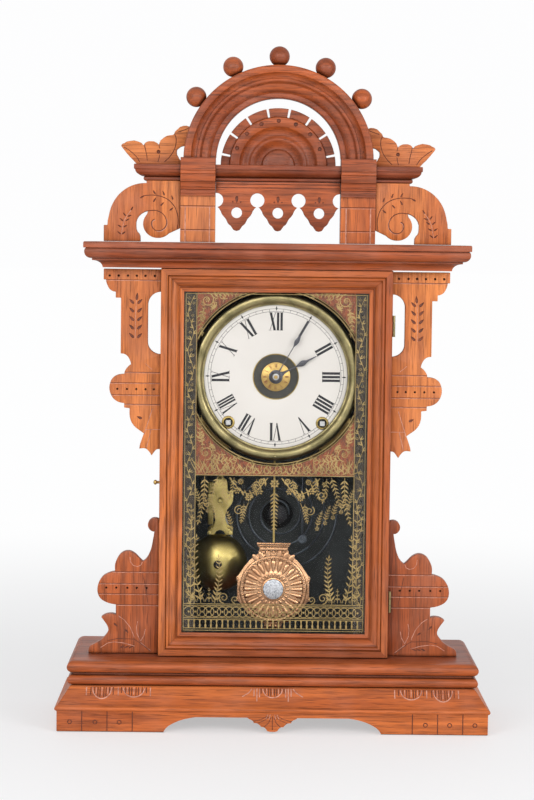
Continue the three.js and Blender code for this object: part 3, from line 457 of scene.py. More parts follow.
@dataclass(frozen=True)
class Film:
    """Something thin that light passes: glass, or colour printed behind it."""

    name: str
    slot: str
    colour: Colour
    second: Colour
    cover: float
    spread: float = 0.1
    rough: float = 0.08

    def material(self) -> bpy.types.Material:
        """Give the finish."""
        if self.name in made_finishes:
            return made_finishes[self.name]
        shade = Shade(self.name)
        at = shade.at()
        clouds = shade.noise(at, 30, 4, 0.6)
        fine = shade.noise(shade.at((1, 1, 0.35)), 700, 3)
        colour = shade.mix(fine.between(0.4, 0.62), self.colour, self.second)
        cover = self.cover + (clouds - 0.5) * self.spread
        shade.bump(clouds, 0.02, 0.2)
        made_finishes[self.name] = shade.set(
            Base_Color=colour, Alpha=cover, Roughness=self.rough + fine * 0.04
        )
        return made_finishes[self.name]


WALNUT = Wood("walnut", tint(206, 112, 52), tint(156, 72, 30), tint(98, 42, 17), 0.06)
DOOR_WALNUT = Wood("walnut", tint(197, 109, 52), tint(151, 72, 32), tint(88, 38, 16), 0.08, 0.38)
DARK_WALNUT = Wood("dark_walnut", tint(172, 84, 38), tint(120, 51, 22), tint(66, 27, 12), 0.08,
                   0.38)
PALE_WALNUT = Wood("pale_walnut", tint(220, 134, 70), tint(180, 96, 46), tint(120, 56, 24), 0.06)
RED_WALNUT = Wood("walnut", tint(172, 86, 40), tint(124, 54, 24), tint(74, 32, 13), 0.08, 0.38)
PINE = Matt("pine", "pine", tint(176, 132, 86), tint(140, 98, 60), 0.7, 30, (1, 1, 0.06))
# Painted shade: the dark colour of carved grooves, slots and leaves.
CUT = Matt("shaded_cut", "walnut", tint(112, 54, 30), tint(82, 38, 22), 0.6, 200)
# Dust with painted highlight: the pale colour of the lighter carved lines.
DUST_AND_HIGHLIGHT_CUT = Matt("dusty_cut", "walnut", tint(206, 156, 136), tint(162, 106, 88), 0.8, 300)
# Painted shade: a dark sheet inside the box, seen through the glass.
SHADE_SHEET = Matt("dark_shade_sheet", "pine", tint(62, 66, 66), tint(44, 48, 48), 0.75, 30)
BRASS = Metal("brass", "brass", tint(190, 160, 98), tint(146, 120, 70), 0.28, 0.5)
DIM_BRASS = Metal("dim_brass", "brass", tint(168, 146, 88), tint(104, 92, 56), 0.32, 0.8)
OLD_BRASS = Metal("bronzed_brass", "bronzed_brass", tint(152, 140, 100), tint(86, 82, 56), 0.28,
                  0.7)
BELL_BRASS = Metal("bell_brass", "brass", tint(186, 168, 104), tint(122, 108, 64), 0.24, 0.6)
STEEL = Metal("steel", "steel", tint(190, 190, 188), tint(132, 130, 126), 0.28, 0.5)
HAND_STEEL = Metal("hand_steel", "blued_steel", tint(88, 88, 92), tint(58, 58, 62), 0.36, 0.5)
GONG_STEEL = Metal("gong_steel", "blued_steel", tint(84, 90, 96), tint(56, 58, 60), 0.34, 0.6)
# The bob's hollows darken fully: tarnish with painted shade.
COPPER = Metal("gilt_copper", "gilt_copper", tint(206, 162, 124), tint(150, 102, 68), 0.18, 0.5, 1,
               60, 1.0)
SILVERED = Metal("silvered", "gilt_copper", tint(206, 208, 212), tint(112, 116, 122), 0.3, 0.8, 1,
                 900)
IRON = Metal("cast_iron", "cast_iron", tint(58, 58, 60), tint(34, 34, 36), 0.5, 0.6, 0.7)
PAPER = Matt("dial_paper", "dial_paper", tint(213, 209, 203), tint(206, 201, 194), 0.62, 9)
INK = Matt("ink", "dial_paper", tint(34, 34, 38), tint(26, 26, 30), 0.6, 200)
RED_INK = Matt("red_ink", "brass", tint(122, 62, 40), tint(96, 48, 32), 0.6, 200)
SHADOW = Matt("dark_recess", "dial_paper", tint(60, 58, 50), tint(40, 40, 36), 0.5, 60)
GILDING = Metal(
    "stencil_gold", "tablet_glass", tint(168, 144, 90), tint(124, 104, 60), 0.42, 0.7, 0.35, 45, 0
)
CLEAR = Film("clear_glass", "tablet_glass", (0.02, 0.025, 0.025), (0.03, 0.03, 0.028), 0.03, 0.02,
             0.03)
RUST = Film("rust_film", "tablet_glass", tint(138, 70, 38), tint(98, 53, 29), 0.94, 0.1, 0.35)
OLIVE = Film("olive_film", "tablet_glass", tint(66, 52, 34), tint(40, 32, 24), 0.94, 0.06, 0.35)
BLACK_FILM = Film("black_film", "tablet_glass", tint(64, 52, 38), tint(40, 36, 28), 0.86, 0.1, 0.3)


# ------------------------------------------------------------------ the bench


class Bench:
    """The modelling operations that the pieces share. Places and sizes are in millimetres."""

    @staticmethod
    def rest() -> None:
        """Leave edit mode and deselect everything."""
        if bpy.context.object and bpy.context.object.mode != "OBJECT":
            bpy.ops.object.mode_set(mode="OBJECT")
        bpy.ops.object.select_all(action="DESELECT")

    @staticmethod
    def pick(piece: bpy.types.Object) -> None:
        """Make one piece the only one selected."""
        Bench.rest()
        piece.select_set(True)
        bpy.context.view_layer.objects.active = piece

    @staticmethod
    def edit(piece: bpy.types.Object) -> None:
        """Open a piece in edit mode with all of it selected."""
        Bench.pick(piece)
        bpy.ops.object.mode_set(mode="EDIT")
        bpy.ops.mesh.select_all(action="SELECT")

    @staticmethod
    def tidy(piece: bpy.types.Object, merge: float = 0.002) -> bpy.types.Object:
        """Merge what meets, turn the faces outwards and leave edit mode.

        Args:
            piece: The piece, in edit mode.
            merge: Distance under which vertices are one.

        Returns:
            The piece.
        """
        bpy.ops.mesh.select_all(action="SELECT")
        bpy.ops.mesh.remove_doubles(threshold=merge * MM)
        bpy.ops.mesh.normals_make_consistent(inside=False)
        bpy.ops.object.mode_set(mode="OBJECT")
        return piece

    @staticmethod
    def named(name: str) -> bpy.types.Object:
        """Name the piece just added and put its place into its mesh."""
        piece = bpy.context.object
        piece.name = piece.data.name = name
        bpy.ops.object.transform_apply(location=True, rotation=True, scale=True)
        return piece

    @staticmethod
    def ring(name: str, points: Sequence[Place], filled: bool = True) -> bpy.types.Object:
        """Add a circle and move its vertices on to an outline.

        Args:
            name: The piece's name.
            points: The outline.
            filled: Whether it has a face.

        Returns:
            The piece.
        """
        Bench.rest()
        fill = "NGON" if filled else "NOTHING"
        bpy.ops.mesh.primitive_circle_add(vertices=len(points), radius=1, fill_type=fill)
        piece = Bench.named(name)
        for vertex, point in zip(piece.data.vertices, points):
            vertex.co = Vector(point) * MM
        piece.data.update()
        return piece

    @staticmethod
    def board(name: str, outline: Outline, y: Flat, edge: float = 0.5) -> bpy.types.Object:
        """Make a flat board from an outline in X and Z.

        Args:
            name: The piece's name.
            outline: Its outline.
            y: Its front and back.
            edge: How far its edges are softened; 0 leaves them.

        Returns:
            The piece.
        """
        piece = Bench.ring(name, [(x, y[0], z) for x, z in outline])
        Bench.edit(piece)
        bpy.ops.mesh.extrude_region_move(
            TRANSFORM_OT_translate={"value": (0, (y[1] - y[0]) * MM, 0)}
        )
        Bench.tidy(piece)
        return Bench.soften(piece, edge) if edge else piece

    @staticmethod
    def block(name: str, x: Flat, y: Flat, z: Flat, edge: float = 0.4) -> bpy.types.Object:
        """Make a squared block with softened edges."""
        Bench.rest()
        centre = [(a + b) / 2 * MM for a, b in (x, y, z)]
        bpy.ops.mesh.primitive_cube_add(size=1, location=centre)
        bpy.context.object.scale = [(b - a) * MM for a, b in (x, y, z)]
        piece = Bench.named(name)
        return Bench.soften(piece, edge) if edge else piece

    @staticmethod
    def soften(piece: bpy.types.Object, width: float, steps: int = 2) -> bpy.types.Object:
        """Round a piece's sharp edges.

        Args:
            piece: The piece.
            width: Width of the rounding.
            steps: Faces across it.

        Returns:
            The piece.
        """
        Bench.pick(piece)
        made = piece.modifiers.new("edges", "BEVEL")
        made.width = width * MM
        made.segments = steps
        made.limit_method = "ANGLE"
        made.angle_limit = math.radians(38)
        bpy.ops.object.modifier_apply(modifier=made.name)
        return piece

    @staticmethod
    def turned(
        name: str,
        profile: Sequence[Flat],
        centre: Flat,
        steps: int = 64,
        upright: bool = False,
        closed: bool = False,
    ) -> bpy.types.Object:
        """Turn a profile round an axis that runs front to back, or upright.

        Args:
            name: The piece's name.
            profile: Distances from the axis, and places along it.
            centre: Where the axis is: X and Z, or X and Y if it is upright.
            steps: Faces round it.
            upright: Whether the axis is upright.
            closed: Whether the profile closes on itself, away from the axis.

        Returns:
            The piece.
        """

        def spot(radius: float, along: float) -> Place:
            """Put a profile point in its place."""
            across = centre[0] + radius
            return (across, centre[1], along) if upright else (across, along, centre[1])

        piece = Bench.ring(name, [spot(r, a) for r, a in profile], filled=False)
        Bench.edit(piece)
        if not closed:
            ends = {0, len(profile) - 1}
            bpy.ops.mesh.select_all(action="DESELECT")
            mesh = bmesh.from_edit_mesh(piece.data)
            for edge in mesh.edges:
                edge.select_set({v.index for v in edge.verts} == ends)
            bmesh.update_edit_mesh(piece.data)
            bpy.ops.mesh.delete(type="EDGE_FACE")
            bpy.ops.mesh.select_all(action="SELECT")
        axis = (0, 0, 1) if upright else (0, -1, 0)
        middle = (centre[0], centre[1], 0) if upright else (centre[0], 0, centre[1])
        bpy.ops.mesh.spin(
            steps=steps, angle=math.tau, center=Vector(middle) * MM, axis=axis
        )
        return Bench.tidy(piece)

    @staticmethod
    def rail(
        name: str, profile: Sequence[Flat], stations: Sequence[Callable[[Flat], Place]]
    ) -> bpy.types.Object:
        """Run a moulding's profile through stations, with a mitre at each.

        Args:
            name: The piece's name.
            profile: The moulding's section.
            stations: Each turns a point of the section into a place.

        Returns:
            The piece.
        """
        piece = Bench.ring(name, [stations[0](point) for point in profile])
        Bench.edit(piece)
        mesh = bmesh.from_edit_mesh(piece.data)
        order = mesh.verts.layers.int.new("order")
        for vertex in mesh.verts:
            vertex[order] = vertex.index
        bmesh.update_edit_mesh(piece.data)
        for place in stations[1:]:
            bpy.ops.mesh.extrude_region_move()
            mesh = bmesh.from_edit_mesh(piece.data)
            order = mesh.verts.layers.int["order"]
            for vertex in mesh.verts:
                if vertex.select:
                    vertex.co = Vector(place(profile[vertex[order]])) * MM
            bmesh.update_edit_mesh(piece.data)
        return Bench.tidy(piece)

    @staticmethod
    def flowing(points: Outline, steps: int = 3) -> Outline:
        """Give a line that bends smoothly through points."""
        made: Outline = []
        for i in range(len(points) - 1):
            ends = [Vector(points[min(max(i + k, 0), len(points) - 1)]) for k in (-1, 0, 1, 2)]
            for j in range(steps):
                t = j / steps
                spot = (ends[1] * 2 + (ends[2] - ends[0]) * t
                        + (ends[0] * 2 - ends[1] * 5 + ends[2] * 4 - ends[3]) * t * t
                        + (ends[1] * 3 - ends[0] - ends[2] * 3 + ends[3]) * t ** 3) / 2
                made.append((spot.x, spot.y))
        return [*made, points[-1]]

    @staticmethod
    def stacked(
        name: str, levels: Sequence[Flat], x: Flat, y: Flat,
        grow: Tuple[int, int, int, int] = (1, 1, 1, 0)
    ) -> bpy.types.Object:
        """Build a moulded block level by level.

        Args:
            name: The piece's name.
            levels: How far out each level is, and its height.
            x: Left and right of a level that is not out at all.
            y: Its front and back.
            grow: Whether the left, right, front and back follow the levels.

        Returns:
            The piece.
        """

        def station(level: Flat) -> Callable[[Flat], Place]:
            """Give the place of a level's corners."""
            out, z = level
            ends_x = (x[0] - out * grow[0], x[1] + out * grow[1])
            ends_y = (y[0] - out * grow[2], y[1] + out * grow[3])
            return lambda corner: (ends_x[corner[0]], ends_y[corner[1]], z)

        corners = [(0, 0), (1, 0), (1, 1), (0, 1)]
        return Bench.rail(name, corners, [station(level) for level in levels])

    @staticmethod
    def ball(name: str, centre: Place, size: Place, rings: int = 16) -> bpy.types.Object:
        """Make a ball or an egg shape from its centre and its half sizes."""
        Bench.rest()
        bpy.ops.mesh.primitive_uv_sphere_add(
            segments=rings * 2, ring_count=rings, radius=1, location=Vector(centre) * MM
        )
        bpy.context.object.scale = Vector(size) * MM
        return Bench.named(name)

    @staticmethod
    def rod(
        name: str, points: Sequence[Place], radius: float, sides: int
    ) -> bpy.types.Object:
        """Make a round wire along points.

        Args:
            name: The piece's name.
            points: The line it follows.
            radius: Its radius.
            sides: The roundness of its section.

        Returns:
            The piece.
        """
        Bench.rest()
        curve = bpy.data.curves.new(name, "CURVE")
        curve.dimensions = "3D"
        curve.bevel_depth = radius * MM
        curve.bevel_resolution = sides
        curve.use_fill_caps = True
        spline = curve.splines.new("POLY")
        spline.points.add(len(points) - 1)
        for point, place in zip(spline.points, points):
            point.co = (*(Vector(place) * MM), 1)
        piece = bpy.data.objects.new(name, curve)
        bpy.context.scene.collection.objects.link(piece)
        Bench.pick(piece)
        bpy.ops.object.convert(target="MESH")
        piece = Bench.named(name)
        Bench.edit(piece)
        return Bench.tidy(piece)

    @staticmethod
    def weld(name: str, pieces: Sequence[bpy.types.Object]) -> bpy.types.Object:
        """Put several meshes into one piece."""
        Bench.rest()
        for piece in pieces:
            piece.select_set(True)
        bpy.context.view_layer.objects.active = pieces[0]
        if len(pieces) > 1:
            bpy.ops.object.join()
        made = bpy.context.view_layer.objects.active
        made.name = made.data.name = name
        return made

    @staticmethod
    def twin(piece: bpy.types.Object, name: str,
             moved: Optional[Matrix] = None) -> bpy.types.Object:
        """Copy a piece with its own mesh.

        Args:
            piece: The piece.
            name: The copy's name.
            moved: How the copy is placed; left out, it is the mirror image left to right.

        Returns:
            The copy.
        """
        Bench.pick(piece)
        bpy.ops.object.duplicate(linked=False)
        made = bpy.context.object
        made.name = made.data.name = name
        made.data.transform(moved or Matrix.Scale(-1, 4, (1, 0, 0)))
        if moved is None:
            Bench.edit(made)
            bpy.ops.mesh.flip_normals()
            bpy.ops.object.mode_set(mode="OBJECT")
        return made

    @staticmethod
    def cut(
        piece: bpy.types.Object, tools: Sequence[bpy.types.Object], finish: Optional[Matt] = None
    ) -> bpy.types.Object:
        """Cut tools out of a piece and throw them away.

        Args:
            piece: The piece, which already has its own material.
            tools: Closed shapes that may cross each other.
            finish: What the cut faces look like; left out, like the piece.

        Returns:
            The piece.
        """
        if not tools:
            return piece
        tool = Bench.weld("cutter", tools)
        if finish:
            tool.data.materials.clear()
            tool.data.materials.append(finish.material())
        Bench.pick(piece)
        made = piece.modifiers.new("cut", "BOOLEAN")
        made.object = tool
        made.operation = "DIFFERENCE"
        made.solver = "EXACT"
        made.use_self = len(tools) > 1
        made.material_mode = "TRANSFER" if finish else "INDEX"
        bpy.ops.object.modifier_apply(modifier=made.name)
        bpy.data.objects.remove(tool)
        return piece

    @staticmethod
    def smooth(piece: bpy.types.Object, angle: float = 28) -> bpy.types.Object:
        """Shade gentle bends smooth and keep the sharper edges."""
        Bench.pick(piece)
        bpy.ops.object.shade_smooth_by_angle(angle=math.radians(angle))
        return piece

    @staticmethod
    def paint(piece: bpy.types.Object, material: bpy.types.Material) -> bpy.types.Object:
        """Give a piece its only material."""
        piece.data.materials.clear()
        piece.data.materials.append(material)
        return piece

    @staticmethod
    def fit(
        piece: bpy.types.Object, body: str, slot: str, *stands_for: str, angle: float = 28
    ) -> bpy.types.Object:
        """Finish a piece: shade it, let it ride, and hide the frame parts that it stands for.

        Args:
            piece: The piece, already painted.
            body: Body that it moves with.
            slot: The material slot of its finish, by name; not used.
            stands_for: CAD nodes that it replaces.
            angle: Bends under this angle are shaded smooth.

        Returns:
            The piece.
        """
        Bench.smooth(piece, angle)
        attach(piece, body)
        if stands_for:
            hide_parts(*stands_for)
        log.info("%s on %s, %d faces", piece.name, body, len(piece.data.polygons))
        return piece


def arc(cx: float, cz: float, radius: float, start: float, end: float, steps: int,
        high: Optional[float] = None) -> Outline:
    """Give points on an arc.

    Args:
        cx: Centre across.
        cz: Centre up.
        radius: Radius, or half width.
        start: First angle in degrees from +X towards +Z.
        end: Last angle.
        steps: Steps between them.
        high: Half height, if it isn't round.

    Returns:
        The points, both ends included.
    """
    tall = radius if high is None else high
    angles = [math.radians(start + (end - start) * i / steps) for i in range(steps + 1)]
    return [(cx + radius * math.cos(a), cz + tall * math.sin(a)) for a in angles]


# Corners that bend by less or more than these degrees stay as drawn.
EASED_BENDS = (4, 55)


def eased(points: Outline, rounds: int) -> Outline:
    """Round off a closed outline's blunt corners and leave its sharp ones.

    Args:
        points: The outline.
        rounds: How often its corners are cut.

    Returns:
        The smoother outline.
    """
    for _ in range(rounds):
        made: Outline = []
        for i, here in enumerate(points):
            before, after = Vector(points[i - 1]), Vector(points[(i + 1) % len(points)])
            spot = Vector(here)
            bend = math.degrees((spot - before).angle(after - spot, 0))
            if not EASED_BENDS[0] <= bend <= EASED_BENDS[1]:
                made.append(here)
                continue
            made.append(tuple(spot.lerp(before, 0.25)))
            made.append(tuple(spot.lerp(after, 0.25)))
        points = made
    return points


def mirrored(outline: Outline) -> Outline:
    """Give an outline's mirror image, left to right."""
    return [(-x, z) for x, z in reversed(outline)]


@dataclass
class Gouge:
    """Shallow carving in a face: gathers the cutters, then cuts them all at once."""

    y: float
    # Cut faces get the dark colour of painted shade unless another finish is given.
    finish: Matt = CUT
    tools: List[bpy.types.Object] = field(default_factory=list)

    def line(self, points: Outline, width: float) -> None:
        """Cut a groove along a line in the board's face."""
        self.route([(x, self.y, z) for x, z in points], width)

    def route(self, points: Sequence[Place], width: float) -> None:
        """Cut a groove along a line in space."""
        self.tools.append(Bench.rod("groove", points, width / 2, 1))

    def leaf(self, foot: Flat, length: float, width: float, lean: float, deep: float = 0.9) -> None:
        """Cut one tear-shaped leaf.

        Args:
            foot: Where it starts.
            length: Its length.
            width: Its width.
            lean: Its direction, in degrees from +X towards +Z.
            deep: Its depth.
        """
        piece = Bench.ball("leaf", (0, 0, 0), (length / 2, deep, width / 2), 6)
        for vertex in piece.data.vertices:
            along = vertex.co.x / (length / 2 * MM)
            vertex.co.z *= 1 - 0.45 * along
        turn = Matrix.Rotation(-math.radians(lean), 4, "Y")
        reach = length / 2
        middle = (
            foot[0] + reach * math.cos(math.radians(lean)),
            self.y,
            foot[1] + reach * math.sin(math.radians(lean)),
        )
        piece.data.transform(Matrix.Translation(Vector(middle) * MM) @ turn)
        self.tools.append(piece)

    def dot(self, x: float, z: float, radius: float, deep: float = 4) -> None:
        """Drill a hole with a flat bottom."""
        y = (self.y - 1, self.y + deep)
        self.tools.append(Bench.board("drill", arc(x, z, radius, 0, 360, 16)[:-1], y, 0))

    def bowl(self, x: float, z: float, radius: float) -> None:
        """Sink a round dimple."""
        self.tools.append(Bench.ball("bowl", (x, self.y, z), (radius, radius * 0.7, radius), 8))

    def loop(self, x: float, z: float, radius: float, width: float = 0.9) -> None:
        """Cut a small ring."""
        Bench.rest()
        bpy.ops.mesh.primitive_torus_add(
            major_segments=20, minor_segments=6, major_radius=radius * MM,
            minor_radius=width / 2 * MM, location=Vector((x, self.y, z)) * MM,
            rotation=(math.pi / 2, 0, 0),
        )
        self.tools.append(Bench.named("loop"))

    def cut(self, piece: bpy.types.Object) -> bpy.types.Object:
        """Cut everything gathered out of a painted piece."""
        Bench.cut(piece, self.tools, self.finish)
        self.tools = []
        return piece


# ------------------------------------------------------------------ studio


@dataclass
class Studio:
    """Pale floor, soft lamps and the camera. Places in metres."""

    camera_at: Place = (-0.0239, -2.0079, 0.4284)
    lens: float = 101.59
    pitch: float = 0.0705
    turn: float = 0.0082
    roll: float = 0.0118
    fill: float = 0.56
    mirrored_white: float = 0.9
    aim: Place = (0, 0, 0.3)
    white: Tuple[float, float, float, float] = (0.985, 0.985, 0.99, 1)
    floor_white: Tuple[float, float, float, float] = (0.99, 0.991, 0.994, 1)
    floor_pale: Colour = (0.9, 0.905, 0.918)
    floor_grey: Colour = (0.87, 0.875, 0.888)
    floor_near: float = 0.45
    floor_fades: Flat = (0.2, 1.4)
    lamps: Sequence[Tuple[Place, float, float]] = (
        ((-1.1, -1.8, 0.95), 1.0, 16.5),
        ((1.4, -1.6, 0.8), 1.0, 20.0),
        ((0.05, -2.6, 1.15), 1.2, 16.0),
    )

    def place_camera(self) -> None:
        """Set the camera where the photograph was taken from."""
        camera = bpy.data.objects.new("camera", bpy.data.cameras.new("camera"))
        bpy.context.scene.collection.objects.link(camera)
        camera.data.lens = self.lens
        camera.data.sensor_width = 36
        flat = Vector((math.sin(self.turn), math.cos(self.turn), 0))
        up = Vector((0, 0, math.cos(self.pitch))) + flat * math.sin(self.pitch)
        ahead = flat * math.cos(self.pitch) - Vector((0, 0, math.sin(self.pitch)))
        right = Vector((math.cos(self.turn), -math.sin(self.turn), 0))
        cosine, sine = math.cos(self.roll), math.sin(self.roll)
        across, rise = right * cosine + up * sine, up * cosine - right * sine
        axes = Matrix((across, rise, -ahead)).transposed().to_4x4()
        camera.matrix_world = Matrix.Translation(self.camera_at) @ axes
        bpy.context.scene.camera = camera

    def hang_lamps(self) -> None:
        """Hang the soft lamps and set the sky."""
        for number, (place, size, power) in enumerate(self.lamps):
            lamp = bpy.data.objects.new(f"lamp_{number}",
                                        bpy.data.lights.new(f"lamp_{number}", "AREA"))
            bpy.context.scene.collection.objects.link(lamp)
            lamp.data.size = size
            lamp.data.energy = power
            lamp.location = place
            aim = Vector(self.aim) - Vector(place)
            lamp.rotation_euler = aim.to_track_quat("-Z", "Y").to_euler()
        world = bpy.data.worlds.new("sky")
        bpy.context.scene.world = world
        world.use_nodes = True
        nodes, links = world.node_tree.nodes, world.node_tree.links
        sky = nodes["Background"]
        sky.inputs["Color"].default_value = self.white
        path = nodes.new("ShaderNodeLightPath")
        seen = nodes.new("ShaderNodeMath")
        seen.operation = "MAXIMUM"
        links.new(path.outputs["Is Camera Ray"], seen.inputs[0])
        links.new(path.outputs["Is Transmission Ray"], seen.inputs[1])
        mirrored_part = nodes.new("ShaderNodeMath")
        mirrored_part.operation = "MULTIPLY_ADD"
        links.new(path.outputs["Is Glossy Ray"], mirrored_part.inputs[0])
        mirrored_part.inputs[1].default_value = self.mirrored_white - self.fill
        mirrored_part.inputs[2].default_value = self.fill
        strength = nodes.new("ShaderNodeMath")
        strength.operation = "MAXIMUM"
        links.new(seen.outputs[0], strength.inputs[0])
        links.new(mirrored_part.outputs[0], strength.inputs[1])
        links.new(strength.outputs[0], sky.inputs["Strength"])

    def lay_floor(self) -> None:
        """Lay a pale floor that is lost in the white behind."""
        Bench.rest()
        bpy.ops.mesh.primitive_circle_add(vertices=96, radius=30, fill_type="NGON")
        floor = Bench.named("floor")
        floor.location.z = -0.0004
        Bench.named("floor")
        shade = Shade("pale_floor")
        place = shade.node("ShaderNodeTexCoord", out="Object")
        far = shade.node("ShaderNodeVectorMath", {"operation": "LENGTH"}, {0: place}, out="Value")
        fine = shade.noise(place, 140, 3)
        shade.set(Base_Color=shade.mix(fine * 0.3, self.floor_pale, self.floor_grey), Roughness=0.7)
        white = shade.tree.nodes.new("ShaderNodeEmission")
        white.inputs["Color"].default_value = self.floor_white
        seen = shade.node("ShaderNodeLightPath", out="Is Camera Ray")
        share = seen * (self.floor_near + far.between(*self.floor_fades) * (1 - self.floor_near))
        blend = shade.tree.nodes.new("ShaderNodeMixShader")
        shade.feed(blend.inputs[0], share)
        shade.tree.links.new(shade.surface.outputs[0], blend.inputs[1])
        shade.tree.links.new(white.outputs[0], blend.inputs[2])
        shade.tree.links.new(blend.outputs[0], shade.output.inputs["Surface"])
        Bench.paint(floor, shade.material)

    def build(self) -> None:
        """Set the whole studio."""
        bpy.context.scene.view_settings.view_transform = "Standard"
        self.place_camera()
        self.hang_lamps()
        self.lay_floor()


# ------------------------------------------------------------------ base and plinth


@dataclass
class Base:
    """Front and side boards with ogee feet, and the plinth board on them."""

    height: float = 38.9
    wall: float = 12.0
    nose: float = 1.9
    foot: float = 93.2
    apron: float = 13.7
    palmette: float = 21.8
    lift: float = 1.4
    cant_foot: float = 22.8
    carved_top: float = 37.4
    feet_carved: float = 18.4

    def section(self) -> Outline:
        """Give the boards' section: how far out from the plinth's flat edge, and height."""
        step, nose = BASE_STEP, self.nose
        round_edge = [(step + nose * math.cos(a), 20.2 + 1.9 * math.sin(a))
                      for a in (-1.35, -0.9, -0.45, 0, 0.45, 0.9, 1.35)]
        return [
            (step - 0.5, 0), (step, 0.5), (step, 17.6), *round_edge, (step - 0.4, self.cant_foot),
            (3.5, self.height - 0.5), (2.6, self.height), (-8, self.height), (-8, 30),
            (step - self.wall, 22), (step - self.wall, 0),
        ]

    def apron_cut(self, side: int) -> bpy.types.Object:
        """Make the shape cut out under the front board, left or right."""
        foot = EDGE_HALF + BASE_STEP - self.foot
        inward = [(0, -2), (0, 0.3), (1, 2.2), (2.6, 4.2), (4.5, 5.8), (7, 7.3), (9.4, 8.6),
                  (13.5, 10.4), (18, 11.8), (23, 12.9), (28, self.apron)]
        drop = self.apron - self.lift
        lobes = [(1, 1), (0.93, 0.9), (0.84, 0.84), (0.77, 0.74), (0.74, 0.62), (0.66, 0.62),
                 (0.58, 0.58), (0.5, 0.46), (0.44, 0.34), (0.36, 0.33), (0.3, 0.28), (0.24, 0.16),
                 (0.2, 0.05), (0.1, 0)]
        outline = [(side * (foot - x), z) for x, z in inward]
        outline += [(side * self.palmette * x, self.lift + drop * z) for x, z in lobes]
        outline += [(0, self.lift), (0, -2)]
        return Bench.board("apron", outline, (-90, BACK + 5), 0)

    def carve_front(self, board: bpy.types.Object) -> None:
        """Cut the grooves and rings of the feet and the fans of the canted face."""
        face = EDGE_FRONT - BASE_STEP
        gouge = Gouge(face)
        for side in (-1, 1):
            for x in (166.0, 144.0, 122.0):
                gouge.line([(side * x, -1), (side * x, self.feet_carved)], 0.9)
            for x in (176.6, 154.5, 133.4):
                gouge.loop(side * x, 8.6, 1.7, 0.9)
            gouge.line([(side * 8, 4.6), (side * 3.2, 9.4), (side * 1.6, 13.5)], 0.7)
            gouge.line([(side * 17, 10.5), (side * 9.4, 12.4), (side * 4, 15.5)], 0.7)
            gouge.line([(side * 13, 8.8), (side * 7, 11.4), (side * 2.6, 15)], 0.6)
        gouge.line([(0, 3.2), (0, 15)], 0.7)
        top = self.carved_top
        outer = [(side * x, half, low) for side in (-1, 1) for x, half,
                 low in ((149, 8.4, 28.4), (121.2, 9.4, 29.8))]
        loops = ((0, 8.6, 30.4), *outer[:2], *reversed(outer[2:]))
        # Painted shade: dark strokes fill each hanging loop to darken its hollow.
        for centre, half, low in loops:
            for share in (-0.78, -0.42, -0.2, 0.2, 0.42, 0.78):
                drop = (top - low) * math.sqrt(1 - share * share) * 0.9
                gouge.route([self.slope(centre + share * half, z) for z in (top, top - drop)], 0.9)
            for share in (-1.16, 1.16):
                gouge.route([self.slope(centre + share * half, z) for z in (top, low + 3)], 0.9)
        gouge.cut(board)
        # Pale lines with dust and painted highlight: the loops' outlines and the strokes beside them.
        fans = Gouge(face, DUST_AND_HIGHLIGHT_CUT)
        for centre, half, low in loops:
            self.lunette(fans, centre, half, low)
        for side in (-1, 1):
            for x, low in ((162.6, 31), (134.8, 31), (106.8, 30.6),
                           (13.7, 27.4), (16.2, 31.4), (11.4, 30.6)):
                fans.route([self.slope(side * x, z) for z in (top, low)], 1.0)
            fans.route([self.slope(side * x, z) for x, z in ((18, 37.2), (20.6, 34.2), (26.4, 31))],
                       1.1)
        for x in (-6.4, -3.2, 3.2, 6.4):
            fans.route([(0.9 * x, face, 12.4), (0.62 * x, face, 16.6)], 0.7)
        fans.cut(board)

    def slope(self, x: float, z: float) -> Place:
        """Give the place on the canted face at a height."""
        share = (z - self.cant_foot) / (self.height - 0.5 - self.cant_foot)
        out = BASE_STEP - 0.4 + (3.5 - BASE_STEP + 0.4) * share
        return x, EDGE_FRONT - out, z

    def lunette(self, gouge: Gouge, centre: float, half: float, low: float) -> None:
        """Cut a hanging loop with upright strokes in it on the canted face."""
        top = self.carved_top
        turns = [math.radians(a) for a in range(180, 361, 15)]
        loop = [self.slope(centre + half * math.cos(a),
                           top + (top - low) * math.sin(a)) for a in turns]
        gouge.route(loop, 1.1)
        for share in (-0.6, 0, 0.6):
            drop = (top - low) * math.sqrt(1 - share * share) * 0.74
            gouge.route([self.slope(centre + share * half, z) for z in (top, top - drop)], 0.7)

    def build(self) -> None:
        """Make the base."""
        section = self.section()

        def at(side: int, y: Optional[float] = None, shy: float = 0) -> Callable[[Flat], Place]:
            """Give a station at a front corner, or at a depth."""
            def place(point: Flat) -> Place:
                """Put a section point in its place."""
                out, z = point
                front = EDGE_FRONT - out if y is None else y
                return side * (EDGE_HALF + out - shy), front, z
            return place

        def behind(side: int) -> Callable[[Flat], Place]:
            """Give a side board's front station, just behind the mitre."""
            return lambda point: (side * (EDGE_HALF + point[0]), EDGE_FRONT - point[0] + 0.35,
                                  point[1])

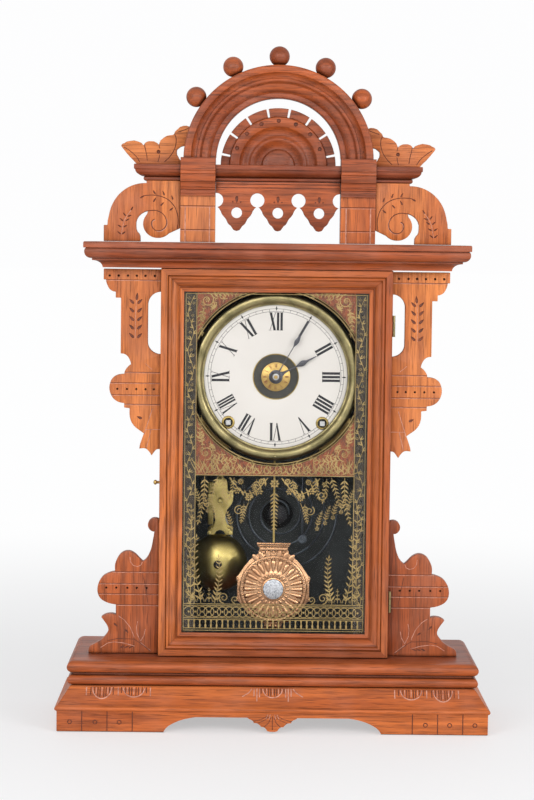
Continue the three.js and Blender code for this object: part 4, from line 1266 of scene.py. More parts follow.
        front = Bench.rail("front_base_board", section, [at(-1, shy=0.05), at(1, shy=0.05)])
        Bench.paint(front, WALNUT.material(Grain.SIDEWAYS, 1))
        Bench.cut(front, [self.apron_cut(-1)])
        Bench.cut(front, [self.apron_cut(1)])
        self.carve_front(front)
        Bench.fit(front, "case", "walnut", "base_front_board", angle=32)
        for side, word in ((-1, "left"), (1, "right")):
            piece = Bench.rail(f"{word}_base_board", section, [behind(side), at(side, BACK)])
            Bench.paint(piece, WALNUT.material(Grain.DEEP, 2))
            Bench.fit(piece, "case", "walnut", f"base_side_{word}", angle=32)
        foot = self.height + GAP
        groove = foot + 8.7
        levels = [(0.6, foot)]
        levels += [(1.6 + 4.6 * math.cos(a), foot + 4.3 + 4.3 * math.sin(a))
                   for a in [math.radians(-84 + 168 * i / 12) for i in range(13)]]
        levels += [(1.2, groove + 0.2), (1.2, groove + 1.1)]
        high = PLINTH_TOP - groove - 1.4
        levels += [(6.6 * math.cos(a), groove + 1.4 + high / 2 * (1 + math.sin(a)))
                   for a in [math.radians(-80 + 168 * i / 16) for i in range(17)]]
        levels += [(-0.6, PLINTH_TOP)]
        plinth = Bench.stacked("plinth", levels, (-EDGE_HALF, EDGE_HALF), (EDGE_FRONT, BACK))
        Bench.paint(plinth, RED_WALNUT.material(Grain.SIDEWAYS, 3))
        Bench.fit(plinth, "case", "walnut", "plinth_board", angle=32)


# ------------------------------------------------------------------ case


@dataclass
class Case:
    """The box with its cornice, and the brackets beside it."""

    flare: float = 15.9
    cornice_front: float = -34.1
    cornice_half: float = 152.5
    wall: float = 6.5
    bracket: Flat = (-19.0, -10.0)

    def cornice(self) -> None:
        """Run the cornice round the front and sides."""
        cove = arc(8.4, 0, 8.4, 180, 92, 14, 6.2)
        ovolo = arc(9.4, 13.8, 5.7, -88, 28, 16, 5.8)
        high = CORNICE_TOP - CORNICE_Z
        section = [*cove, (8.7, 6.4), (8.8, 6.8), (8.7, 7.8), *ovolo, (13.9, 16.6), (13.9, 17),
                   (self.flare - 0.3, 17.1), (self.flare, 17.4), (self.flare, high - 1),
                   (self.flare - 0.3, high - 0.3), (self.flare - 1, high), (-self.wall, high),
                   (-self.wall, 0)]

        def at(side: int, y: Optional[float] = None) -> Callable[[Flat], Place]:
            """Give a station at a front corner, or at a depth."""
            def place(point: Flat) -> Place:
                """Put a section point in its place."""
                front = self.cornice_front - point[0] if y is None else y
                return side * (self.cornice_half + point[0]), front, CORNICE_Z + point[1]
            return place

        cornice = Bench.rail("cornice", section, [at(-1, BACK), at(-1), at(1), at(1, BACK)])
        Bench.paint(cornice, DARK_WALNUT.material(Grain.SIDEWAYS, 4))
        Bench.fit(cornice, "case", "dark_walnut", "cornice_moulding", angle=32)

    def upper_outline(self) -> Outline:
        """Give the upper bracket: distance out from the case, and drop below the cornice."""
        lobe = [
            (32.2, 94), (38.6, 94.6), (43.8, 98.2), (46, 106.9), (43, 115), (37.6, 119),
            (32.2, 119.8)
        ]
        outline = [
            (51, 1.4), (51, 10.9), (49, 10.9), (48.6, 13.6), (47.6, 16), (46.3, 18.6), (44.4, 20.4),
            (42.4, 21.3), (40.3, 21.6), (40.3, 26.8), (35.6, 26.8), (35.6, 75.9), (33.4, 76),
            (31.5, 76.6),
            (29.6, 78), (28.2, 80), (26.9, 82.8), (26.4, 85.4), (28.4, 86.6), (30, 88.4),
            (31.4, 90.4),
            (32.2, 92.4), *lobe, (32.2, 123.7), (27.4, 124.2), (27.5, 128.4), (27.2, 132),
            (26.1, 135.7),
            (24.4, 138.6), (21.8, 141.4), (18.6, 143.6), (14.6, 146.4), (15.6, 149), (16.6, 152),
            (18, 156), (18.6, 160), (15, 159.4), (12.2, 160), (9.5, 162.8), (7.6, 166),
            (5.2, 162.4),
            (3.2, 160.2), (GAP, 160.2), (GAP, 77), *arc(GAP, 65.6, 11.6, 90, 0, 10, 10.7),
            *arc(GAP, 32.8, 11.6, 0, -90, 10, 11.6), (GAP, 1.4),
        ]
        return [(-CASE_HALF - out, CORNICE_Z - drop) for out, drop in eased(outline, 2)]

    def lower_outline(self) -> Outline:
        """Give the lower bracket: distance out from the case, and height above the plinth."""
        outline = [
            (GAP, GAP), (62.4, GAP), (62.2, 3.4), (61.4, 6.3), (57.9, 8), (54.3, 9.9), (51.1, 11.8),
            (48.6, 14.4), (46.2, 17.3), (44.6, 20.4), (45.2, 23.9), (47, 27), (49, 29.6),
            (51.2, 32.6),
            (47.5, 34.9), (43.4, 35.6), (40.7, 35.5), (38.3, 34.7), (38.3, 43.9), (43.6, 44.7),
            (48.1, 46.4), (51.2, 48.3), (53.4, 51), (54.7, 54.6), (54.8, 58.6), (54, 62.8),
            (52, 66.6),
            (49.5, 69.4), (46.3, 71.3), (42.7, 72.6), (39.1, 73.3), (39.4, 76.8), (39.3, 80),
            (38, 83.9),
            (36, 87.4), (34.1, 89.6), (31.8, 91), (29.2, 91.8), (26.4, 91.8), (23.4, 90.6),
            (20.6, 88.6),
            (17.6, 85.2), (14.7, 82.6), (12.5, 84), (10.6, 86.4), (8.8, 90), (7.4, 94), (6.6, 97.4),
            (6, 101), (5.2, 105.4), (4.6, 109.6), *arc(4.2, 115.4, 6.2, -78, 130, 18), (GAP, 119.6),
        ]
        return [(-CASE_HALF - out, PLINTH_TOP + rise) for out, rise in eased(outline, 1)]

    def scribe(self, gouge: Gouge, lines: Sequence[Flat], rise: float, width: float) -> None:
        """Cut level lines from the case outwards.

        Args:
            gouge: What cuts them.
            lines: Each one's height, and how far out it starts.
            rise: How far above that height it lies.
            width: Its width.
        """
        for z, out in lines:
            gouge.line([(out, z + rise), (0.5 - CASE_HALF, z + rise)], width)

    def upper_bracket(self) -> None:
        """Saw and carve the upper brackets."""
        outline = list(reversed(self.upper_outline()))
        board = Bench.board("left_upper_bracket", outline, self.bracket, 0.45)
        Bench.paint(board, PALE_WALNUT.material(Grain.UPRIGHT, 5))
        gouge = Gouge(self.bracket[0])
        for x in (-147.2, -139.2, -131.1, -123.3, -115.7, -107.4):
            gouge.dot(x, 396.2, 1.1)
        for x in (-139.8, -131.3, -123.0, -114.9, -107.5):
            gouge.dot(x, 296.3, 1.0)
        for k in range(5):
            z = 343.4 + 7.5 * k
            gouge.leaf((-125.5, z - 1.8), 5.9, 2.3, 136, 0.9)
            gouge.leaf((-122.6, z - 1.8), 5.9, 2.3, 44, 0.9)
        gouge.leaf((-123.4, 374.6), 6.8, 2.3, 84, 0.9)
        gouge.leaf((-117.8, 270.2), 5, 2.2, 158, 0.8)
        scribed = ((392.2, -154), (310.9, -149), (301.5, -149), (290.9, -149), (282.6, -141))
        # Painted shade: each scribed line is dark and lies just above its height.
        self.scribe(gouge, scribed, 0.35, 0.6)
        gouge.cut(board)
        dust_and_highlight = Gouge(self.bracket[0], DUST_AND_HIGHLIGHT_CUT)
        dust_and_highlight.line([(-124.4, 341), (-124.2, 360), (-123.6, 375)], 0.5)
        # Painted highlight, with dust: a pale line just below each scribed line.
        self.scribe(dust_and_highlight, scribed, -0.3, 0.5)
        dust_and_highlight.line([(-108.7, 279), (-116, 256.3)], 0.8)
        dust_and_highlight.line([(-115, 260.7), (-101, 260.7)], 0.6)
        dust_and_highlight.line([(-109.8, 260.4), (-113.6, 244.8)], 0.7)
        dust_and_highlight.line([(-115.4, 319), (-109.3, 313.8)], 0.5)
        dust_and_highlight.cut(board)
        Bench.fit(board, "case", "walnut", "upper_bracket_left")
        other = Bench.twin(board, "right_upper_bracket")
        Bench.fit(other, "case", "walnut", "upper_bracket_right")

    def lower_bracket(self) -> None:
        """Saw and carve the lower brackets."""
        outline = list(reversed(self.lower_outline()))
        board = Bench.board("left_lower_bracket", outline, self.bracket, 0.45)
        Bench.paint(board, RED_WALNUT.material(Grain.UPRIGHT, 6))
        gouge = Gouge(self.bracket[0])
        for x in (-148.3, -139.5, -129.6, -121.3, -112.4):
            gouge.dot(x, 119.4, 1.0)
        gouge.line([(-108.3, 62.5), (-117.6, 69.8), (-123.3, 73.4), (-137.4, 73.9), (-146.7, 71.8)],
                   0.7)
        gouge.line([(-116, 131), (-112.9, 117.6), (-111.4, 106.2)], 0.6)
        gouge.leaf((-141.5, 87.5), 4.4, 1.6, -42, 0.7)
        gouge.leaf((-131.6, 81.8), 4.2, 1.6, -38, 0.7)
        for x in (-136, -132, -128):
            gouge.leaf((x, 65.4), 5, 1.3, 24, 0.7)
        scribed = ((133.4, -143), (122.9, -158), (113.7, -158), (103.9, -142))
        # Painted shade: each scribed line is dark and lies just above its height.
        self.scribe(gouge, scribed, 0.35, 0.6)
        gouge.cut(board)
        dust_and_highlight = Gouge(self.bracket[0], DUST_AND_HIGHLIGHT_CUT)
        # Painted highlight, with dust: a pale line just below each scribed line.
        self.scribe(dust_and_highlight, scribed, -0.3, 0.5)
        for line in (
            [(-127.5, 147.2), (-127, 142.6), (-124.4, 139.4), (-120.7, 138.4), (-117.6, 140),
             (-116.4, 142.8)],
            [(-137.4, 94.2), (-132.2, 90.6), (-127, 84.3), (-123.8, 77), (-123.3, 75)],
            [(-117.6, 71.8), (-120.7, 78.1), (-121.3, 84.3), (-120.2, 89.5)],
            [(-117.4, 71.8), (-114.5, 77), (-113.5, 82.6)],
            [(-117.5, 70.4), (-108.8, 63.4)],
            [(-153, 65.6), (-146.7, 69.8), (-140.5, 70.8), (-132.2, 69.8), (-122.8, 67.2)],
        ):
            dust_and_highlight.line(line, 0.6)
        dust_and_highlight.cut(board)
        Bench.fit(board, "case", "walnut", "lower_bracket_left")
        other = Bench.twin(board, "right_lower_bracket")
        Bench.fit(other, "case", "walnut", "lower_bracket_right")

    def build(self) -> None:
        """Make the cornice and brackets, finish the box and line it with painted shade."""
        self.cornice()
        self.upper_bracket()
        self.lower_bracket()
        for node, finish in (
            ("case_side_left", WALNUT.material(Grain.UPRIGHT, 7)),
            ("case_side_right", WALNUT.material(Grain.UPRIGHT, 8)),
            ("backboard", PINE.material()),
            ("case_top_board", DARK_WALNUT.material(Grain.SIDEWAYS, 9)),
        ):
            Bench.paint(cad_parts[node], finish)
            log.info("%s keeps its shape", node)
        # Thin dark sheets against the back and sides inside the box are painted shade.
        sides = [extent("case_side_left")[1].x, extent("case_side_right")[0].x]
        wall = extent("backboard")[0].y
        z = (PLINTH_TOP + 0.4, CORNICE_Z - 0.3)
        rear = (wall - 0.26, wall - 0.04)
        panels = [Bench.block("panel", (sides[0] + 0.3, sides[1] - 0.3), rear, z, 0)]
        for x in ((sides[0] + 0.04, sides[0] + 0.26), (sides[1] - 0.26, sides[1] - 0.04)):
            panels.append(Bench.block("panel", x, (CASE_FRONT + 0.4, wall - 0.04), z, 0))
        shade_sheet = Bench.weld("dark_shade_sheet", panels)
        Bench.paint(shade_sheet, SHADE_SHEET.material())
        Bench.fit(shade_sheet, "case", "pine")


# ------------------------------------------------------------------ pediment


@dataclass
class Pediment:
    """Everything above the cornice: posts, shelf, arch, balls, fan, pendants, scrolls and shells."""

    inner: float = 55.0
    outer: float = 85.5
    front: float = -24.0
    back: float = -2.0
    post_foot: float = 426.3
    cap_foot: float = 467.1
    radius: float = 83.2
    arch_inner: float = 54.8
    arch_back: float = -3.0
    ball: float = 8.9
    ball_flat: float = 7.6
    ball_step: float = 26.4
    fan: float = 50.9
    pitch: float = 36.19
    board: Flat = (-20.0, -11.0)

    def posts(self) -> None:
        """Make the posts with their moulded caps."""
        foot = self.cap_foot
        levels = [(-0.3, self.post_foot), (0, self.post_foot + 0.3), (0, foot - 0.6),
                  (1.6, foot - 0.4),
                  (1.9, foot - 0.1), (1.9, foot + 1.6), (1.2, foot + 2), (1.2, foot + 5)]
        levels += [(1.6 + 1.4 * math.cos(a), foot + 6.2 + 1.05 * math.sin(a))
                   for a in [math.radians(-90 + 180 * i / 8) for i in range(9)]]
        levels += [(1.9, foot + 7.4), (2.1, foot + 8.6), (2.7, foot + 10.4), (3.7, foot + 12),
                   (5, foot + 12.4), (5.2, foot + 12.8), (5.2, foot + 18.6), (6.3, foot + 18.9),
                   (6.6, foot + 19.3), (6.6, foot + 21.4), (5.6, foot + 22), (5.6, CAP_TOP - 0.4),
                   (5.2, CAP_TOP)]
        post = Bench.stacked("left_post", levels, (-self.outer, -self.inner),
                             (self.front, self.back),
                             (0, 0, 1, 0))
        Bench.paint(post, PALE_WALNUT.material(Grain.UPRIGHT, 10))
        gouge = Gouge(self.front)
        for z in (458.0, 437.3):
            gouge.line([(-87, z), (-53, z)], 0.8)
        gouge.cut(post)
        # Pale grooves with dust and painted highlight; the level ones lie just under the dark lines as their
        # painted highlight.
        dust_and_highlight = Gouge(self.front, DUST_AND_HIGHLIGHT_CUT)
        for x in (-81.2, -59.8):
            dust_and_highlight.line([(x, 424), (x, 457.6)], 1.1)
        dust_and_highlight.line([(-87, 457.0), (-53, 457.0)], 0.4)
        dust_and_highlight.line([(-87, 436.3), (-53, 436.3)], 0.4)
        dust_and_highlight.cut(post)
        post.data.materials.append(DARK_WALNUT.material(Grain.SIDEWAYS, 11))
        for face in post.data.polygons:
            if face.center.z > (self.cap_foot + 0.1) * MM and face.material_index == 0:
                face.material_index = 3
        Bench.fit(post, "case", "pale_walnut", "post_left", angle=32)
        other = Bench.twin(post, "right_post")
        # The right post gets a darker walnut than the left: painted shade.
        other.data.materials[0] = WALNUT.material(Grain.UPRIGHT, 30)
        Bench.fit(other, "case", "pale_walnut", "post_right", angle=32)

    def shelf(self) -> None:
        """Make the shelf, notched round the posts."""
        half = self.outer + 31.4
        levels = [(0, SHELF_Z)]
        levels += [(1.2 * math.cos(a), SHELF_Z + 1.8 + 1.8 * math.sin(a))
                   for a in [math.radians(-80 + 160 * i / 6) for i in range(7)]]
        levels += [(0, SHELF_Z + 3.8)]
        levels += [(out, SHELF_Z + z) for out, z in arc(0, 9.6, 8.3, -85, 0, 9, 5.7)]
        levels += [(9.3, SHELF_Z + 10.1), (9.3, SHELF_TOP - 0.5), (8.8, SHELF_TOP)]
        shelf = Bench.stacked("shelf", levels, (-half, half), (self.front + 6, self.front + 32))
        Bench.paint(shelf, DARK_WALNUT.material(Grain.SIDEWAYS, 12))
        for side in (-1, 1):
            x = sorted((side * (self.inner - GAP), side * (self.outer + GAP)))
            Bench.cut(shelf, [Bench.block("notch", tuple(x), (-60, self.back + GAP), (470, 510),
                                          0)])
        Bench.fit(shelf, "case", "dark_walnut", "entablature_shelf", angle=32)

    def arch(self) -> None:
        """Turn the arch moulding, cut level on the caps."""
        r = self.radius
        bead = [(r - 11.2 - 3.0 * (1 - math.cos(a)) / 2, 17.4 + 0.9 * math.sin(a))
                for a in [math.pi * i / 6 for i in range(7)]]
        section = [
            (r, 0), (r, 22.0), (r - 0.5, 22.7), (r - 1.1, 23), (r - 5.6, 23), (r - 6.3, 22.6),
            (r - 6.7, 21.6), (r - 7.3, 20.2), (r - 8.6, 18.8), (r - 10.2, 17.7), *bead,
            (r - 15.1, 16.6), (r - 16.2, 17.3),
            (r - 18.2, 17.2), (r - 20.4, 16.4), (r - 22.3, 15), (r - 23.4, 13.5), (r - 23.8, 13.1),
            (r - 25.2, 13.4), (self.arch_inner + 0.7, 13.2), (self.arch_inner, 12.6),
            (self.arch_inner, 0),
        ]
        lift = CAP_TOP + GAP - ARCH_Z

        def level(side: int) -> Callable[[Flat], Place]:
            """Give an end station, cut level."""
            def place(point: Flat) -> Place:
                """Put a section point in its place."""
                out, ahead = point
                across = side * math.sqrt(out * out - lift * lift)
                return across, self.arch_back - ahead, ARCH_Z + lift
            return place

        def turned(angle: float) -> Callable[[Flat], Place]:
            """Give the station at an angle."""
            c, s = math.cos(math.radians(angle)), math.sin(math.radians(angle))
            return lambda point: (point[0] * c, self.arch_back - point[1], ARCH_Z + point[0] * s)

        stations = [level(1), *[turned(4 + 172 * i / 64) for i in range(65)], level(-1)]
        arch = Bench.rail("arch", section, stations)
        Bench.paint(arch, DARK_WALNUT.material(Grain.SIDEWAYS, 13))
        Bench.fit(arch, "case", "dark_walnut", "arch_moulding", angle=34)

    def balls(self) -> None:
        """Turn one ball and stand five on the arch."""
        flat = math.degrees(math.acos(self.ball_flat / self.ball))
        half = arc(0, 0, self.ball, flat - 90, 90, 22)
        profile = [(0, -self.ball_flat), (half[0][0] - 0.2, -self.ball_flat), *half[1:-1],
                   (0, self.ball)]
        ball = Bench.turned("ball", profile, (0, 0), 40, upright=True)
        away = self.radius + GAP + self.ball_flat
        middle = Matrix.Translation(Vector((0, self.arch_back - 11.5, ARCH_Z)) * MM)
        for number in range(5):
            turn = Matrix.Rotation(math.radians((number - 2) * self.ball_step), 4, "Y")
            spin = Matrix.Rotation(1.3 * number + 0.4, 4, "Z")
            moved = middle @ turn @ Matrix.Translation(Vector((0, 0, away)) * MM) @ spin
            made = Bench.twin(ball, f"ball_{number + 1}", moved)
            Bench.paint(made, DARK_WALNUT.material(Grain.SIDEWAYS, 14 + number))
            Bench.fit(made, "case", "dark_walnut", f"ball_finial_{number + 1}", angle=40)
        bpy.data.objects.remove(ball)

    def fan_rosette(self) -> None:
        """Turn the half rosette, notch its rim and drill it."""
        face = self.arch_back + GAP
        back, foot = face + 9, SHELF_TOP + GAP
        section = [
            (0.01, back), (self.fan, back), (self.fan, back - 5.6), (self.fan - 0.5, back - 6.1),
            (43.6, back - 6.1), (43.2, back - 6.8), (42.6, back - 8.7), (42, back - 9),
            (35.2, back - 9),
            (34.4, back - 8.6), (33.6, back - 7.3), (32.2, back - 6.1), (29.6, back - 5.1),
            (27, back - 5.1), (25.6, back - 6), (24.6, back - 6.7), (23.2, back - 7),
            (22, back - 6.6),
            (20, back - 5.1), (17.6, back - 3.9), (16.4, back - 3.6), (15, back - 3.7),
            (14.4, back - 4.8), (13.6, back - 6.1), (11.4, back - 7), (8, back - 7.6),
            (4, back - 7.9), (0.01, back - 8),
        ]

        def turned(angle: float) -> Callable[[Flat], Place]:
            """Give the station at an angle."""
            c, s = math.cos(math.radians(angle)), math.sin(math.radians(angle))
            return lambda point: (point[0] * c, point[1], foot + point[0] * s)

        rosette = Bench.rail("fan", section, [turned(180 * i / 60) for i in range(61)])
        Bench.paint(rosette, DARK_WALNUT.material(Grain.SIDEWAYS, 20))
        slots = []
        for i in range(8):
            angle = math.radians(180 * (i + 0.5) / 8)
            c, s = math.cos(angle), math.sin(angle)
            corners = [(43.4, -0.9), (54, -1.2), (54, 1.2), (43.4, 0.9)]
            outline = [(u * c - v * s, foot + u * s + v * c) for u, v in corners]
            slots.append(Bench.board("slot", outline, (face - 2, back + 2), 0))
        # The slots' faces get the dark cut colour: painted shade.
        Bench.cut(rosette, slots, CUT)
        drill = Gouge(face)
        for i in range(7):
            angle = math.radians(22.5 + 22.5 * i)
            drill.bowl(39.6 * math.cos(angle), foot + 39.6 * math.sin(angle), 1.9)
        drill.cut(rosette)
        Bench.fit(rosette, "case", "dark_walnut", "fan_rosette", angle=34)

    def pendants(self) -> None:
        """Saw the row of pendants between the posts."""
        tip = CORNICE_TOP + 10.5
        lobe = [(0, 0), (0.14, 0.7), (0.2, 2.2), (0.28, 4.4), (0.36, 5.4), (0.42, 6.6), (0.48, 8.8),
                (0.53, 10.6), (0.6, 12), (0.68, 13.6), (0.74, 15.4), (0.78, 17.4), (0.86, 19.6),
                (0.94, 21)]
        half = self.inner - GAP
        top = SHELF_Z - GAP
        outline = [(-half, top), (-half, tip + 21)]
        for k in (-1, 0, 1):
            edge = [(k * self.pitch + self.pitch / 2 * x, tip + z) for x, z in lobe]
            other = [(2 * k * self.pitch - x, z) for x, z in reversed(edge)]
            outline += [*other[:-1], *edge]
        outline += [(half, tip + 21), (half, top)]
        board = Bench.board("pendants", outline, self.board, 0.35)
        Bench.paint(board, DARK_WALNUT.material(Grain.SIDEWAYS, 21))
        through = (self.board[0] - 2, self.board[1] + 2)
        holes = [Bench.board("hole", arc(k * self.pitch, tip + 16, 4.7, 0, 360, 32)[:-1], through,
                             0)
                 for k in (-1, 0, 1)]
        Bench.cut(board, holes)
        notches = [Bench.board("hole", arc(k * self.pitch, tip + 27, 6.2, 0, 360, 36)[:-1], through,
                               0)
                   for k in (-1.5, -0.5, 0.5, 1.5)]
        Bench.cut(board, notches)
        gouge = Gouge(self.board[0])
        for k in (-1, 0, 1):
            x = k * self.pitch
            gouge.leaf((x, tip + 30.6), 6, 2.5, -90, 0.9)
            for side in (-1, 1):
                gouge.bowl(x + side * 3.4, tip + 25.4, 0.7)
        for z in (477.4, 474.3):
            gouge.line([(-half - 2, z), (half + 2, z)], 0.9)
        gouge.cut(board)
        Bench.fit(board, "case", "dark_walnut", "pendant_board", angle=32)

    def scrolls(self) -> None:
        """Saw and carve the scroll brackets beside the posts."""
        top = 53.5
        outline = [
            (GAP, top), (30, top), *arc(31, 18, 32, 92, 12, 22, 33.2), (63.8, 18), (64, 14.2),
            (67.2, 14.2),
            (67.2, 0), (34.9, 0), (35.1, 5), (36.2, 7.2), (37.8, 8.8), (38.6, 11), (38.8, 13.8),
            (38.8, 17),
            (37.9, 19.9), (36.3, 22.4), (34, 24.4), (31.4, 25.9), (28.5, 26.7),
            *arc(19.8, 15.6, 12.9, 42, -138, 24, 12.4), (GAP, 12),
        ]
        left = [(-self.outer - out, CORNICE_TOP + GAP + rise) for out, rise in outline]
        board = Bench.board("left_scroll", list(reversed(left)), self.board, 0.5)
        Bench.paint(board, PALE_WALNUT.material(Grain.UPRIGHT, 22))
        gouge = Gouge(self.board[0])
        ridge = [(-120.7, 464.7), (-117.6, 466.3), (-113.3, 466.9), (-107.7, 466.9),
                 (-101.6, 465.7),
                 (-96, 462.9), (-91.7, 458.6), (-89.2, 454.2), (-87.7, 448.7), (-87.4, 442.8),
                 (-88.3, 437.6)]
        gouge.line(Bench.flowing(ridge), 0.9)
        for x, z, lean in ((-107.4, 467.6, 122), (-99.6, 466.8, 112), (-92.2, 463, 106),
                           (-109.4, 461, 58),
                           (-103, 457.8, 46), (-95, 453.6, 40), (-120.9, 464.4, 28)):
            gouge.leaf((x, z), 4.4, 1.4, lean, 0.8)
        stem = [(-137.3, 432.1), (-136.2, 437.4), (-135.4, 441.8), (-133.8, 446.3), (-130.9, 450.9),
                (-128.4, 454)]
        for x, z, lean in ((-137.6, 432.4, 140), (-137.2, 438.6, 148), (-135.6, 444, 140),
                           (-133.4, 448.4, 128), (-136.6, 432.4, 40), (-135.4, 438.6, 30),
                           (-133.6, 444, 34), (-131.8, 448, 22), (-129, 453.4, 60)):
            gouge.leaf((x, z), 4.0, 1.3, lean, 0.8)
        inner = [(-12.9, 7.8), (-10.3, 8.9), (-6.5, 9.5), (-3.2, 9.6), (0, 8.7), (2.9, 7.1),
                 (5.2, 4.5), (6.6, 1.3), (6.8, -1.6), (5.8, -4.8), (3.2, -7.3), (0, -8.4),
                 (-3.2, -7.7), (-5.5, -5.2), (-6.5, -1.9),
                 (-5.7, 0.6), (-3.6, 1.7)]
        spiral = Bench.flowing([(-104.4 + x, 444.1 + z) for x, z in inner])
        gouge.line(spiral, 0.9)
        gouge.cut(board)
        dust_and_highlight = Gouge(self.board[0], DUST_AND_HIGHLIGHT_CUT)
        dust_and_highlight.line(Bench.flowing(stem), 0.6)
        # Painted highlight: a pale line beside the inner turns of the dark spiral, a little right and below.
        dust_and_highlight.line([(x + 0.55, z - 0.4) for x, z in spiral[12:]], 0.6)
        dust_and_highlight.cut(board)
        Bench.fit(board, "case", "walnut", "scroll_bracket_left")
        other = Bench.twin(board, "right_scroll")
        Bench.fit(other, "case", "walnut", "scroll_bracket_right")

    def shells(self) -> None:
        """Saw and carve the shells on the shelf."""
        lobes = [
            (71.2, 1), (73.2, 3.4), (76, 6), (80, 10.6), (84.2, 15.9), (83.4, 17.6), (81.4, 18.4),
            (79.2, 19.8), (76.4, 20.4), (72.6, 20.9), (69, 20), (66.2, 18.8), (64.3, 16.6),
            (63.2, 18.6),
            (61.6, 19.8), (59.6, 20.4), (57.5, 20.4), (55.4, 20.3), (53.6, 19.6), (52, 18.6),
            (51, 17.2),
            (49.4, 21.2), (46.6, 23.6), (44, 25.2), (40.9, 25.9), (39.4, 26), (37.8, 26.4),
            (36.6, 29.2),
            (34.6, 31), (32.3, 33.2), (29.4, 34.2), (26.6, 34.4), (24, 33.6), (21.6, 32.2),
            (20, 30),
            (20, 12), (24, 15.4), (28.5, 16.6), (31.2, 16), (33.4, 14.4), (34.8, 13), (35, 11.4),
            (34.8, 9), (33.6, 7), (32.6, 5), (31, 3.6), (31, 0), (69.8, 0),
        ]
        face = self.arch_back + GAP
        base = SHELF_TOP + GAP
        left = [(-self.arch_inner - x, base + z) for x, z in lobes]
        board = Bench.board("left_shell", list(reversed(left)), (face, face + 9), 0.6)
        Bench.paint(board, PALE_WALNUT.material(Grain.SIDEWAYS, 23))
        gouge = Gouge(face)
        gouge.bowl(-105.8, 505.6, 1.7)
        for line in (
            [(-118.9, 514.4), (-117.8, 509), (-116.4, 503), (-115.6, 497.6)],
            [(-105.6, 511.9), (-105.2, 510), (-104.9, 508.4)],
            [(-91.8, 521.4), (-90.2, 516.4), (-91.6, 508.4), (-95.8, 501.4), (-100.6, 496.6)],
            [(-79.4, 526.4), (-84.6, 524.4), (-89.2, 523)],
            [(-136.2, 509.4), (-131, 506), (-125.4, 501), (-122.4, 496.4)],
            [(-104.9, 503), (-105.4, 499.6), (-106.4, 496.4)],
        ):
            gouge.line(Bench.flowing(line), 0.8)
        gouge.cut(board)
        Bench.fit(board, "case", "pale_walnut", "shell_left")
        other = Bench.twin(board, "right_shell")
        Bench.fit(other, "case", "pale_walnut", "shell_right")

    def build(self) -> None:
        """Make the pediment."""
        self.posts()
        self.shelf()
        self.arch()
        self.balls()
        self.fan_rosette()
        self.pendants()
        self.scrolls()
        self.shells()


# ------------------------------------------------------------------ printed ornament


